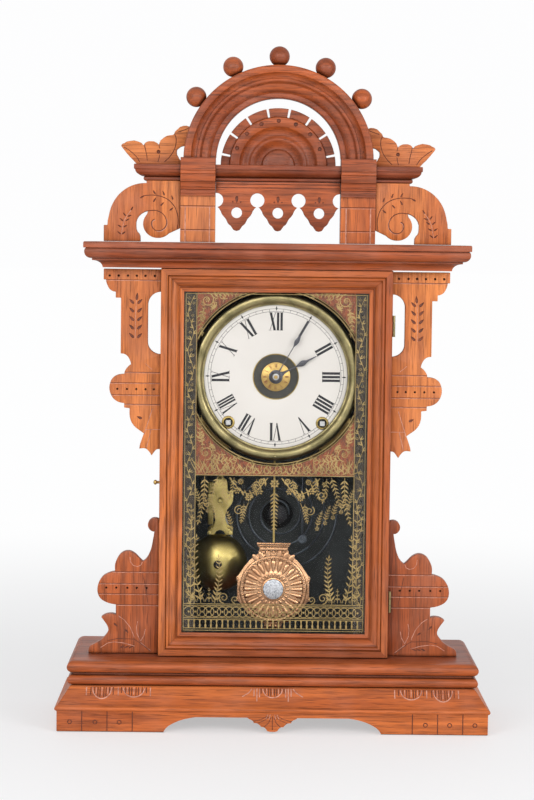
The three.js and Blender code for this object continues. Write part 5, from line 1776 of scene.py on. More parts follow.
@dataclass
class Print:
    """Flat printed shapes behind a face, gathered into one piece."""

    name: str
    y: float
    thick: float = 0.05
    shapes: List[Tuple[int, Outline]] = field(default_factory=list)
    level: int = 0

    def add(self, *outlines: Outline) -> None:
        """Add filled outlines that lie at one level, a hair in front of or behind their neighbours."""
        self.level = (self.level + 1) % 7
        self.shapes += [(self.level, outline) for outline in outlines]

    def stroke(self, line: Outline, width: float, end: Optional[float] = None) -> None:
        """Add a line as a ribbon.

        Args:
            line: The line.
            width: Its width at the start.
            end: Its width at the end, if that differs.
        """
        last = width if end is None else end
        left: Outline = []
        right: Outline = []
        for i, here in enumerate(line):
            before = Vector(line[max(i - 1, 0)])
            after = Vector(line[min(i + 1, len(line) - 1)])
            along = (after - before).normalized()
            half = (width + (last - width) * i / (len(line) - 1)) / 2
            left.append((here[0] - along.y * half, here[1] + along.x * half))
            right.append((here[0] + along.y * half, here[1] - along.x * half))
        self.add(*[[left[i], left[i + 1], right[i + 1], right[i]] for i in range(len(line) - 1)])

    def ring(self, x: float, z: float, radius: float, width: float, steps: int = 24) -> None:
        """Add a thin ring, as two half ribbons."""
        for start in (0, 180):
            self.stroke(arc(x, z, radius, start, start + 180.2, steps // 2), width)

    def disc(self, x: float, z: float, radius: float, steps: int = 12) -> None:
        """Add a round dot."""
        self.add(arc(x, z, radius, 0, 360, steps)[:-1])

    def leaf(self, x: float, z: float, length: float, width: float, lean: float) -> None:
        """Add a pointed leaf from its foot."""
        c, s = math.cos(math.radians(lean)), math.sin(math.radians(lean))
        half = [(0, 0), (0.16, 0.3), (0.38, 0.5), (0.62, 0.42), (0.84, 0.18), (1, 0)]
        edge = [(u * length, v * width) for u, v in half]
        edge += [(u, -v) for u, v in reversed(edge[1:-1])]
        self.add([(x + u * c - v * s, z + u * s + v * c) for u, v in edge])

    def flower(self, x: float, z: float, radius: float, petals: int = 6, turn: float = 0) -> None:
        """Add a rosette: petals round a dot."""
        for i in range(petals):
            lean = turn + 360 * i / petals
            c, s = math.cos(math.radians(lean)), math.sin(math.radians(lean))
            start = radius * 0.34
            self.leaf(x + start * c, z + start * s, radius * 0.66, radius * 0.42, lean)
        self.disc(x, z, radius * 0.2, 8)

    def curl(self, x: float, z: float, size: float, turns: float, start: float, hand: int,
             width: float = 0.6) -> None:
        """Add a spiral that starts outside and winds in."""
        count = int(14 * turns)
        line = []
        for i in range(count + 1):
            reach = size * (1 - 0.82 * i / count)
            angle = math.radians(start + hand * 360 * turns * i / count)
            line.append((x + reach * math.cos(angle), z + reach * math.sin(angle)))
        self.stroke(line, width, width * 0.8)

    def branch(self, stem: Outline, pairs: int, length: float, width: float = 0.6,
               spread: float = 42) -> None:
        """Add a stem with leaves on both sides and one at its end."""
        self.stroke(stem, width, width * 0.6)
        count = len(stem) - 1
        for k in range(pairs):
            share = (k + 0.7) / pairs * count
            i = min(int(share), count - 1)
            start, end = Vector(stem[i]), Vector(stem[i + 1])
            spot = start.lerp(end, min(share - i, 1))
            along = math.degrees(math.atan2(end.y - start.y, end.x - start.x))
            size = length * (1 - 0.35 * k / max(pairs - 1, 1))
            for side in (-1, 1):
                self.leaf(spot.x, spot.y, size, size * 0.24, along + side * spread)
        self.leaf(*stem[-1], length * 0.7, length * 0.18, along)

    def build(self, finish: bpy.types.Material) -> bpy.types.Object:
        """Make all the shapes at once, each a hair in front of the last.

        Args:
            finish: The print's finish.

        Returns:
            The piece.
        """
        Bench.rest()
        bpy.ops.mesh.primitive_circle_add(vertices=3, radius=1)
        piece = Bench.named(self.name)
        Bench.edit(piece)
        bpy.ops.mesh.delete(type="VERT")
        sheet = bmesh.from_edit_mesh(piece.data)
        for level, outline in self.shapes:
            y = self.y + level * 0.004
            sheet.faces.new([sheet.verts.new(Vector((x, y, z)) * MM) for x, z in outline])
        bmesh.update_edit_mesh(piece.data)
        bpy.ops.mesh.select_all(action="SELECT")
        bpy.ops.mesh.remove_doubles(threshold=0.0008 * MM)
        bpy.ops.mesh.extrude_region_move(TRANSFORM_OT_translate={"value": (0, self.thick * MM, 0)})
        bpy.ops.mesh.select_all(action="SELECT")
        bpy.ops.mesh.normals_make_consistent(inside=False)
        bpy.ops.object.mode_set(mode="OBJECT")
        return Bench.paint(piece, finish)


# ------------------------------------------------------------------ door


@dataclass
class Door:
    """Moulded frame, glass, printed tablet, catch and hinges."""

    foot: float = 60.8
    head: float = 403.1
    face: float = 20.2
    glass: Flat = (-24.0, -22.0)
    catch: Place = (-101.8, -26.3, 214.7)
    opening: Tuple[float, float, float] = (81.3, 81.0, 382.9)

    def frame(self) -> None:
        """Run the four mitred lengths of the frame."""
        section = [
            (0, 0), (0, 11.5), (0.5, 12), (5.6, 12), (5.95, 11.6), (6.1, 11), (6.3, 10.8),
            (6.7, 11.3),
            (7.4, 11.75), (8.2, 11.7), (8.9, 11.2), (9.3, 10.5), (9.4, 9.4), (9.8, 8.9),
            (10.4, 8.8),
            (11.6, 8.5), (13.2, 7.6), (14.4, 6.5), (15.2, 5.4), (15.7, 4.9), (16.1, 5), (16.5, 5.7),
            (17, 6.1), (19.5, 5.9), (20.1, 5.6), (self.face, 5), (self.face, 4), (17.2, 4),
            (17.2, 0),
        ]

        def corner(side: int, end: int, shy: Flat) -> Callable[[Flat], Place]:
            """Give the station at a corner, a hair short so that the mitre shows."""
            def place(point: Flat) -> Place:
                """Put a section point in its place."""
                inward, ahead = point
                z = self.head - inward if end else self.foot + inward
                rise = shy[1] * (-1 if end else 1)
                return side * (CASE_HALF - inward - shy[0]), DOOR_BACK - ahead, z + rise
            return place

        hair = 0.06
        ends = (
            ("stile_left", (-1, 0), (-1, 1), (0, hair), Grain.UPRIGHT),
            ("rail_top", (-1, 1), (1, 1), (hair, 0), Grain.SIDEWAYS),
            ("stile_right", (1, 1), (1, 0), (0, hair), Grain.UPRIGHT),
            ("rail_bottom", (1, 0), (-1, 0), (hair, 0), Grain.SIDEWAYS),
        )
        pieces = []
        for number, (word, first, second, shy, grain) in enumerate(ends):
            piece = Bench.rail(word, section, [corner(*first, shy), corner(*second, shy)])
            pieces.append(Bench.paint(piece, DOOR_WALNUT.material(grain, (24, 25, 31, 27)[number])))
        made = Bench.weld("door_mouldings", pieces)
        Bench.fit(made, "door", "walnut", "door_frame", angle=34)

    def fittings(self) -> None:
        """Make the catch and the hinge knuckles of the door."""
        x, y, z = self.catch
        profile = [(0, 0), (1.2, 0), (1.2, 2), (1.5, 2.4), (2.1, 2.9), (2.2, 3.5), (2, 4.2),
                   (1.4, 4.8),
                   (0.6, 5.1), (0, 5.2)]
        knob = Bench.turned("catch", profile, (0, 0), 28, upright=True)
        turn = Matrix.Translation(Vector((x, y, z)) * MM) @ Matrix.Rotation(-math.pi / 2, 4, "Y")
        knob.data.transform(turn)
        Bench.paint(knob, BRASS.material())
        Bench.fit(knob, "door", "brass", "door_catch_pin", angle=40)
        knuckle = Bench.turned("upper_knuckle",
                               [(0.75, 351.45), (1.15, 351.45), (1.4, 351.7), (1.4, 357.0),
                                                 (1.15, 357.25), (0.75, 357.25)], (103.2, -21.3),
                                                 20,
                               upright=True, closed=True)
        leaf = Bench.block("leaf", (88, 102.4), (DOOR_BACK + 0.05, DOOR_BACK + 0.5), (345.4, 363.1),
                           0.1)
        Bench.paint(knuckle, OLD_BRASS.material())
        Bench.paint(leaf, OLD_BRASS.material())
        upper = Bench.weld("upper_door_leaf", [knuckle, leaf])
        lower = Bench.twin(upper, "lower_door_leaf",
                           Matrix.Translation((0, 0, (109.5 - 354.4) * MM)))
        for piece in (upper, lower):
            Bench.fit(piece, "door", "bronzed_brass", angle=40)
        for node in ("hinge_upper", "hinge_lower"):
            Bench.paint(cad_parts[node], OLD_BRASS.material())

    def pane(self) -> None:
        """Dress the glass and lay the colours behind its print."""
        Bench.paint(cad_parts["door_glass"], CLEAR.material())
        side, low, high = self.opening
        waist = 221.0
        hole = arc(0, DIAL_Z, 75.8, 0, 360, 96)
        film = Bench.ring("rust_field",
                          [(-69.6, -21.9, waist), (69.6, -21.9, waist), (69.6, -21.9, high + 2),
                                         (-69.6, -21.9, high + 2)])
        Bench.edit(film)
        bpy.ops.mesh.extrude_region_move(TRANSFORM_OT_translate={"value": (0, 0.04 * MM, 0)})
        Bench.tidy(film, 0.0005)
        Bench.paint(film, RUST.material())
        Bench.cut(film, [Bench.board("dial_hole", hole[:-1], (-25, -18), 0)])
        Bench.fit(film, "door", "tablet_glass")
        bands = []
        for sign in (-1, 1):
            x = sorted((sign * 70.2, sign * (side + 1.6)))
            bands.append(Bench.block("band", tuple(x), (-21.9, -21.86), (low - 1.6, high + 2), 0))
        band = Bench.weld("black_bands", bands)
        Bench.paint(band, BLACK_FILM.material())
        Bench.fit(band, "door", "tablet_glass")
        ring = Bench.turned("olive_ring",
                            [(75.8, -21.9), (79.2, -21.9), (79.2, -21.86), (75.8, -21.86)],
                            (0, DIAL_Z), 96, closed=True)
        Bench.paint(ring, OLIVE.material())
        Bench.cut(ring, [Bench.block("trim", (-90, -69.5), (-25, -18), (200, 400), 0)])
        Bench.cut(ring, [Bench.block("trim", (69.5, 90), (-25, -18), (200, 400), 0)])
        Bench.fit(ring, "door", "tablet_glass")

    def tablet(self) -> None:
        """Print the gold ornament: vines, scrolled corners, a swag and a lattice."""
        side, low, high = self.opening
        gold = Print("gold_print", -21.98)
        for sign in (-1, 1):
            gold.stroke([(sign * (side - 1.6), low + 1.6), (sign * (side - 1.6), high - 1.6)], 0.55)
            gold.stroke([(sign * 70.2, 106), (sign * 70.2, high - 1.6)], 0.6)
        for z in (low + 1.6, high - 1.6):
            gold.stroke([(1.6 - side, z), (side - 1.6, z)], 0.55)
        self.vines(gold, high)
        self.corners(gold)
        self.waist(gold)
        self.lower(gold, low)
        for radius, width in ((76.6, 0.7), (78.6, 0.45)):
            reach = math.degrees(math.acos(69.2 / radius))
            for start in (reach, 180 + reach):
                gold.stroke(arc(0, DIAL_Z, radius, start, start + 180 - 2 * reach, 60), width)
        piece = gold.build(GILDING.material())
        Bench.fit(piece, "door", "tablet_glass")

    def vines(self, gold: Print, high: float) -> None:
        """Print a winding vine in each upright band."""
        for sign in (-1, 1):
            centre = sign * 75.2
            line = []
            for i in range(161):
                z = 104 + (high - 6 - 104) * i / 160
                line.append((centre + 2.4 * math.sin(z / 5.4), z))
            gold.stroke(line, 0.42)
            for i in range(54):
                z = 106 + i * 5.1
                if z > high - 6:
                    break
                swing = math.sin(z / 5.4)
                x = centre + 2.4 * swing
                gold.leaf(x, z, 4.4, 1.05, 62 if i % 2 else 118)
                gold.leaf(x, z, 3.6, 0.95, 20 if i % 2 else 160)
                if i % 3 == 1:
                    gold.flower(x - 3.4 * (1 if swing > 0 else -1), z + 1.6, 1.5, 5, 20 * i)
                if i % 3 == 2:
                    gold.curl(x - 3.0 * (1 if swing > 0 else -1), z + 1.2, 1.5, 1.1, 30 * i,
                              1 if swing > 0 else -1, 0.35)

    def corners(self, gold: Print) -> None:
        """Print leafy scrolls in the corners round the dial."""
        for sign in (-1, 1):
            for rise in (1, -1):
                x0, z0 = sign * 64, DIAL_Z + (68.5 if rise > 0 else -68.5)
                gold.curl(x0 - sign * 3, z0 - rise * 1, 6.4, 1.4, 90 * rise, sign * rise, 0.8)
                gold.curl(x0 - sign * 17, z0 + rise * 2.4, 4.6, 1.2, 0 if sign < 0 else 180,
                          -sign * rise, 0.7)
                gold.curl(x0 + sign * 1.6, z0 - rise * 17, 4.0, 1.2, 180 if sign < 0 else 0,
                          sign * rise, 0.7)
                gold.flower(x0 - sign * 3, z0 - rise * 1, 2.2, 6)
                stem = [(x0 - sign * (6 + 26 * t),
                         z0 + rise * (4 - 1.5 * t + 2.6 * math.sin(3 * t)))
                        for t in [i / 10 for i in range(11)]]
                gold.branch(stem, 7, 5.2, 0.5, 48)
                stem = [(x0 + sign * (2.5 * math.sin(2.4 * t)), z0 - rise * (8 + 22 * t))
                        for t in [i / 10 for i in range(11)]]
                gold.branch(stem, 6, 4.6, 0.5, 50)
                for k in range(5):
                    lean = math.degrees(math.atan2(rise, sign)) - 60 + 30 * k
                    gold.leaf(x0 - sign * 10, z0 - rise * 8, 5, 1.2, lean)
                for start in (36, 45, 54):
                    away = [math.radians(start + 9 * math.sin(1.6 * t)) for t in [i / 6 for i in range(7)]]
                    sprout = [(sign * (81 + 1.9 * i) * math.cos(a),
                               DIAL_Z + rise * (81 + 1.9 * i) * math.sin(a))
                              for i, a in enumerate(away)]
                    gold.branch([(x, z) for x, z in sprout if abs(x) < 68.5], 5, 3.4, 0.4, 52)

    def waist(self, gold: Print) -> None:
        """Print a band of feathery leaves under the dial."""
        for k in range(56):
            x = -68.5 + 2.49 * k
            reach = 6.5 + 2.6 * math.sin(k * 1.7) + 0.0019 * x * x
            for lean in (50 + 30 * math.sin(k * 2.3), 118 + 24 * math.sin(k * 3.1)):
                gold.leaf(x, 222.0, reach, 0.8, lean)
            gold.leaf(x + 1.2, 226, reach * 0.8, 0.8, 90 + 46 * math.sin(k * 1.3))
        gold.stroke([(-69.8, 221.2), (69.8, 221.2)], 0.7)
        for k in (-1, 1):
            for step in range(3):
                gold.curl(k * (22 + 15 * step), 231 + step * 3.2, 3.6, 1.3, 90, k, 0.6)

    def lower(self, gold: Print, low: float) -> None:
        """Print the swag, the side stems and the lattice of the lower glass."""
        foot = low + 3
        for z in (foot + 0.6, foot + 8.2, foot + 9.8, foot + 20.6, foot + 22.2):
            gold.stroke([(1.8 - 81.3, z), (81.3 - 1.8, z)], 0.55)
        for k in range(31):
            x = -75 + 5 * k
            gold.add([(x - 0.5, foot + 0.8), (x + 0.5, foot + 0.8), (x + 0.9, foot + 3),
                      (x + 0.35, foot + 5),
                      (x + 0.9, foot + 8), (x - 0.9, foot + 8), (x - 0.35, foot + 5),
                      (x - 0.9, foot + 3)])
        for k in range(26):
            x = -75 + 6 * k
            gold.ring(x, foot + 15.2, 4.5, 0.6, 20)
            gold.disc(x, foot + 15.2, 0.9, 8)
        for sign in (-1, 1):
            for x, z, high, lean in ((64, foot + 23, 58, 6), (52, foot + 23, 40, -4),
                                     (73.5, foot + 23, 84, 0)):
                stem = [(sign * (x + lean * math.sin(2.2 * t)),
                         z + high * t) for t in [i / 12 for i in range(13)]]
                gold.branch(stem, 10, 6.0, 0.5, 46)
            gold.curl(sign * 44, foot + 28, 5, 1.5, -90, sign, 0.7)
            gold.curl(sign * 34, foot + 26.4, 3.4, 1.3, -90, sign, 0.6)
            drop = [(sign * (62 - 2 * t + 7 * t * t),
                     220 - 40 * t) for t in [i / 12 for i in range(13)]]
            gold.branch(drop, 10, 5.4, 0.45, 44)
            fall = [(sign * (50 + 8 * t), 220 - 24 * t) for t in [i / 8 for i in range(9)]]
            gold.branch(fall, 7, 4.6, 0.4, 46)
            swag = [(sign * (6 + 34 * t), 219 - 14 * math.sin(math.pi * t)) for t in [i / 16 for i in range(17)]]
            gold.stroke(swag, 0.7)
            for i in range(1, 16, 2):
                x, z = swag[i]
                gold.leaf(x, z, 5, 1.6, -70 - 20 * sign * (i / 8 - 1))
                gold.leaf(x, z, 3.6, 1.3, 120)
            gold.flower(sign * 23, 201.5, 3.4, 8)
            for x, z, size, petals in ((11.5, 216, 3.0, 8), (18.5, 211.6, 2.6, 6),
                                       (30, 215.6, 2.9, 8), (44, 214, 2.4, 6)):
                gold.flower(sign * x, z, size, petals, 14)
            for x, z, drop_x, drop_z in ((16, 218, 4, -15), (36, 219, 3, -17), (46, 219, -3, -20),
                                         (27, 196, 2, -15)):
                hung = [(sign * (x + drop_x * t * t),
                         z + drop_z * t) for t in [i / 7 for i in range(8)]]
                gold.branch(hung, 6, 4.2, 0.4, 48)
            gold.flower(sign * 33, 207.5, 3.2, 6)
            gold.flower(sign * 13, 207, 3.2, 6)
            gold.curl(sign * 42, 204, 5.2, 1.5, 90, -sign, 0.8)
            gold.curl(sign * 31.5, 190, 4.4, 1.4, 60, -sign, 0.7)
            gold.stroke([(sign * 23, 197), (sign * 26, 190), (sign * 29, 186)], 0.5)
            for k in range(4):
                arch_x, arch_z = sign * (72 - 7.5 * k), foot + 24
                gold.stroke(arc(arch_x, arch_z, 3.2, 0, 180, 8, 5.4 - 0.6 * k), 0.4)
                gold.branch([(arch_x, arch_z), (arch_x, arch_z + 7 + 2 * k)], 3, 3, 0.4, 50)
            for k in range(5):
                x, z = sign * (38 + 7 * k), 176 + 5 * k
                spray = [(x + sign * (1.6 * t * t + 2 * t),
                          z + 12 * t) for t in [i / 6 for i in range(7)]]
                gold.branch(spray, 5, 3.6, 0.4, 50)
                gold.flower(x, z - 1.6, 2.1, 6, 12 * k)
        gold.flower(0, 214, 4.4, 8)
        stem = [(0, 208 - 34 * i / 8) for i in range(9)]
        gold.branch(stem, 10, 5.4, 0.5, 50)

    def build(self) -> None:
        """Make the door."""
        self.frame()
        self.fittings()
        self.pane()
        self.tablet()


# ------------------------------------------------------------------ dial


class Figure(Enum):
    """A letter of a Roman figure; Dial.strokes gives its outlines and how wide it is."""

    I = "I"
    V = "V"
    X = "X"


@dataclass
class Dial:
    """Paper dial in its bezel, with hands, alarm disc and winding holes."""

    front: float = -11.8
    radius: float = 66.1
    hole: float = 19.7
    foot: float = 41.2
    high: float = 15.6
    thick: float = 2.2
    thin: float = 0.5
    track: Flat = (57.8, 60.2)
    winding: Flat = (41.7, 41.0)

    def strokes(self, figure: Figure) -> Tuple[List[Outline], float]:
        """Give a figure's outlines and its width.

        Args:
            figure: Which one.

        Returns:
            Its outlines, from its left foot, and its width.
        """
        h, t, n = self.high, self.thick, self.thin
        serif = 0.3

        def foot(x: float, z: float, half: float) -> Outline:
            """Give a serif."""
            return [(x - half, z - serif / 2), (x + half, z - serif / 2), (x + half, z + serif / 2),
                    (x - half, z + serif / 2)]

        if figure is Figure.I:
            stem = [(0.35, 0), (0.35 + t, 0), (0.35 + t, h), (0.35, h)]
            return [stem, foot(0.35 + t / 2, 0, t / 2 + 0.55),
                    foot(0.35 + t / 2, h, t / 2 + 0.55)], t + 0.9
        if figure is Figure.V:
            left = [(0.2, h), (0.2 + t, h), (3.4 + t / 2, 0.3), (3.4, 0)]
            right = [(6.4, h), (6.4 + n, h), (3.9, 0), (3.4, 0)]
            return [left, right, foot(0.2 + t / 2, h, t / 2 + 0.6), foot(6.6, h, 1.2)], 7.2
        fall = [(0.2, h), (0.2 + t, h), (6.2, 0), (6.2 - t, 0)]
        rise = [(0.5, 0), (0.5 + n, 0), (5.9, h), (5.9 - n, h)]
        feet = [foot(0.2 + t / 2, h, t / 2 + 0.6), foot(5.6, h, 1.2),
                foot(6.2 - t / 2, 0, t / 2 + 0.6),
                foot(0.8, 0, 1.2)]
        return [fall, rise, *feet], 6.5

    def numerals(self, ink: Print) -> None:
        """Print the hours, feet towards the middle."""
        words = ("XII", "I", "II", "III", "IIII", "V", "VI", "VII", "VIII", "IX", "X", "XI")
        for hour, word in enumerate(words):
            parts: List[Outline] = []
            reach = 0.0
            for letter in word:
                outlines, width = self.strokes(Figure(letter))
                parts += [[(x + reach, z) for x, z in outline] for outline in outlines]
                reach += width + 0.15
            squeeze = min(1.0, 12.6 / reach)
            turn = math.radians(-30 * hour)
            c, s = math.cos(turn), math.sin(turn)
            for outline in parts:
                placed = []
                for x, z in outline:
                    u, v = (x - reach / 2) * squeeze, self.foot + z
                    placed.append((u * c - v * s, DIAL_Z + u * s + v * c))
                ink.add(placed)

    def face(self) -> None:
        """Cut the paper dial and print it."""
        back = self.front + 0.8
        paper = Bench.turned("dial", [(self.hole, self.front + 0.1), (self.hole + 0.3, self.front),
                                      (self.radius, self.front), (self.radius, back),
                                      (self.hole, back)],
                             (0, DIAL_Z), 96, closed=True)
        Bench.paint(paper, PAPER.material())
        for side in (-1, 1):
            hole = arc(side * self.winding[0], DIAL_Z - self.winding[1], 4.2, 0, 360, 28)[:-1]
            Bench.cut(paper, [Bench.board("hole", hole, (self.front - 2, back + 2), 0)])
        Bench.fit(paper, "case", "dial_paper", "dial_plate", angle=40)
        ink = Print("dial_print", self.front - 0.06)
        self.numerals(ink)
        for radius in reversed(self.track):
            ink.ring(0, DIAL_Z, radius, 0.32, 160)
        for minute in range(60):
            c, s = math.cos(math.radians(6 * minute)), math.sin(math.radians(6 * minute))
            if minute % 5:
                ink.stroke([(r * c, DIAL_Z + r * s) for r in self.track], 0.28)
                continue
            ink.add([(58.4 * c, DIAL_Z + 58.4 * s),
                     (60.5 * c - 0.8 * s, DIAL_Z + 60.5 * s + 0.8 * c),
                     (62.7 * c, DIAL_Z + 62.7 * s),
                     (60.5 * c + 0.8 * s, DIAL_Z + 60.5 * s - 0.8 * c)])
        Bench.fit(ink.build(INK.material()), "case", "dial_paper")

    def bezel(self) -> None:
        """Turn the bezel, the recess and the winding collars, and set dark discs of painted shadow behind the
        centre recess and the winding holes.
        """
        f = self.front
        profile = [
            (63.5, f - 0.3), (63.5, f - 2.2), (63.9, f - 2.9), (64.6, f - 3), (65.2, f - 3.3),
            (66, f - 4.6),
            (67.4, f - 5.6), (69.2, f - 6), (71, f - 5.8), (72.6, f - 5.1), (73.6, f - 4),
            (74.2, f - 2.6),
            (74.4, f - 1.4), (74.4, f + 1.6), (66.4, f + 1.6), (66.4, f - 0.3),
        ]
        bezel = Bench.turned("bezel", profile, (0, DIAL_Z), 128, closed=True)
        Bench.paint(bezel, OLD_BRASS.material())
        Bench.fit(bezel, "case", "bronzed_brass", "dial_bezel", angle=40)
        rivet = Bench.turned("bezel_rivet",
                             [(0, f - 6.6), (0.9, f - 6.4), (1.3, f - 5.9), (1.3, f - 5)],
                             (0, DIAL_Z - 70.6), 20)
        Bench.paint(rivet, OLD_BRASS.material())
        Bench.fit(rivet, "case", "bronzed_brass", angle=40)
        cup = Bench.turned("dial_recess",
                           [(self.hole - 0.05, f - 0.25), (self.hole + 0.7, f - 0.35),
                                           (self.hole + 0.8, f - 0.05), (self.hole - 0.05,
                                                                         f - 0.05)],
                           (0, DIAL_Z), 72, closed=True)
        Bench.paint(cup, DIM_BRASS.material())
        Bench.fit(cup, "case", "brass", angle=40)
        # A dark disc of painted shadow behind the centre recess.
        plate = Bench.turned("recess_shadow", [(5.9, f + 1.3), (self.hole + 1.4, f + 1.3),
                                              (self.hole + 1.4, f + 1.7), (5.9, f + 1.7)],
                             (0, DIAL_Z), 64, closed=True)
        Bench.paint(plate, SHADOW.material())
        Bench.fit(plate, "case", "brass", angle=40)
        for side, word in ((-1, "left"), (1, "right")):
            spot = (side * self.winding[0], DIAL_Z - self.winding[1])
            collar = Bench.turned(f"{word}_collar", [(3.7, f + 0.9), (3.7, f - 0.3), (4.1, f - 0.7),
                                                     (5.0, f - 0.75), (5.7, f - 0.3),
                                                     (5.8, f - 0.02),
                                                     (4.15, f - 0.02), (4.15, f + 0.9)], spot, 40,
                                                     closed=True)
            Bench.paint(collar, DIM_BRASS.material())
            Bench.fit(collar, "case", "brass", angle=40)
            # A dark disc of painted shadow behind each winding hole.
            well = Bench.turned(f"{word}_well",
                                [(2.95, f + 2.2), (6.5, f + 2.2), (6.5, f + 2.6), (2.95, f + 2.6)],
                                spot, 28, closed=True)
            Bench.paint(well, SHADOW.material())
            Bench.fit(well, "case", "brass", angle=40)

    def hand(self, name: str, edge: Outline, boss: float, hole: float, angle: float,
             y: Flat) -> bpy.types.Object:
        """Cut a hand.

        Args:
            name: The piece's name.
            edge: Its right edge from the boss to the tip, as if at twelve.
            boss: Radius of its boss.
            hole: Radius of the hole in it.
            angle: Degrees past twelve.
            y: Front and back.

        Returns:
            The hand.
        """
        blade = edge + [(-x, z) for x, z in reversed(edge)]
        turn = math.radians(-angle)
        c, s = math.cos(turn), math.sin(turn)
        outline = [(x * c - z * s, DIAL_Z + x * s + z * c) for x, z in blade]
        piece = Bench.board(name, outline, y, 0.12)
        rim = [(hole, y[1]), (hole, y[0] - 0.1), (boss - 0.3, y[0] - 0.1), (boss, y[0] + 0.1),
               (boss, y[1])]
        ring = Bench.turned("boss", rim, (0, DIAL_Z), 36, closed=True)
        bore = Bench.board("bore", arc(0, DIAL_Z, boss - 0.4, 0, 360, 36)[:-1],
                           (y[0] - 2, y[1] + 2), 0)
        Bench.cut(piece, [bore])
        Bench.paint(piece, HAND_STEEL.material())
        Bench.paint(ring, HAND_STEEL.material())
        return Bench.weld(name, [piece, ring])

    def hands(self) -> None:
        """Make both hands, the alarm disc and the nut."""
        f = self.front
        hour_edge = [(2.6, 5.2), (1.2, 8), (0.75, 12), (0.6, 20), (0.9, 21.5), (2.0, 24),
                     (2.55, 26.3),
                     (2.3, 28), (1.2, 30.5), (0.75, 33), (0.62, 37), (0.4, 39.6), (0.12, 40.7)]
        hour = self.hand("hour_pointer", hour_edge, 6.2, 3.9, 62.5, (f - 3, f - 2.4))
        Bench.fit(hour, "hour", "blued_steel", "hour_hand", angle=40)
        minute_edge = [(1.7, 2.8), (0.75, 6), (0.42, 12), (0.34, 30.5), (0.7, 32), (1.75, 34.5),
                       (2.1, 36.4),
                       (1.75, 38.4), (0.8, 41.6), (0.5, 46), (0.45, 57), (0.12, 59.3)]
        minute = self.hand("minute_pointer", minute_edge, 3.6, 1.8, 30, (f - 4.8, f - 4.2))
        Bench.fit(minute, "minute", "blued_steel", "minute_hand", angle=40)
        disc = Bench.turned("alarm_setting_disc",
                            [(4.3, f - 1.2), (4.3, f + 1.2), (5.5, f + 1.2), (5.5, f - 0.4),
                                                   (12.8, f - 0.4), (12.8, f - 0.8), (12.5, f - 1),
                                                   (5.9, f - 1), (5.6, f - 1.2)], (0, DIAL_Z), 64,
                                                   closed=True)
        Bench.paint(disc, BRASS.material())
        Bench.fit(disc, "alarm_setting", "brass", "alarm_disc", angle=40)
        ink = Print("alarm_figures", f - 1.05)
        for radius in (11.9, 7.5):
            ink.ring(0, DIAL_Z, radius, 0.16, 48)
        words = ("I", "II", "III", "IV", "V", "VI", "VII", "VIII", "IX", "X", "XI", "XII")
        for hour, word in enumerate(words):
            turn = math.radians(-30 * (hour + 1))
            c, s = math.cos(turn), math.sin(turn)
            reach = 0.0
            parts: List[Outline] = []
            for letter in word:
                outlines, width = self.strokes(Figure(letter))
                parts += [[(x + reach, z) for x, z in outline] for outline in outlines]
                reach += width
            for outline in parts:
                size = 2.9 / self.high
                placed = [((x - reach / 2) * size, 8.3 + z * size) for x, z in outline]
                ink.add([(u * c - v * s, DIAL_Z + u * s + v * c) for u, v in placed])
        Bench.fit(ink.build(RED_INK.material()), "alarm_setting", "brass")
        nut = Bench.turned("centre_nut",
                           [(0, f - 5.9), (0.7, f - 5.85), (1.15, f - 5.6), (1.3, f - 5.2),
                                          (1.3, f - 4.95), (2.7, f - 4.95), (2.9, f - 4.9),
                                          (0, f - 4.9)],
                           (0, DIAL_Z), 32)
        Bench.paint(nut, STEEL.material())
        Bench.fit(nut, "minute", "steel", angle=40)

    def build(self) -> None:
        """Make the dial."""
        self.face()
        self.bezel()
        self.hands()


# ------------------------------------------------------------------ movement


@dataclass
class Movement:
    """The wheels behind the dial keep their shapes and get their metals."""

    brass: Sequence[str] = (
        "movement_front_plate", "movement_back_plate", "centre_wheel", "minute_wheel", "hour_wheel",
        "second_wheel", "time_great_wheel", "strike_great_wheel", "escape_wheel",
    )
    steel: Sequence[str] = (
        "time_winding_arbor", "strike_winding_arbor", "time_mainspring", "strike_mainspring",
        "verge",
    )

    def build(self) -> None:
        """Dress the wheels."""
        for finish, nodes in ((BRASS, self.brass), (STEEL, self.steel)):
            for node in nodes:
                Bench.paint(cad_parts[node], finish.material())
        for node, finish in (("gong_block", IRON), ("gong_hammer", GONG_STEEL),
                             ("pendulum_rod", DIM_BRASS)):
            Bench.paint(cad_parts[node], finish.material())
        log.info("movement dressed")


# ------------------------------------------------------------------ pendulum


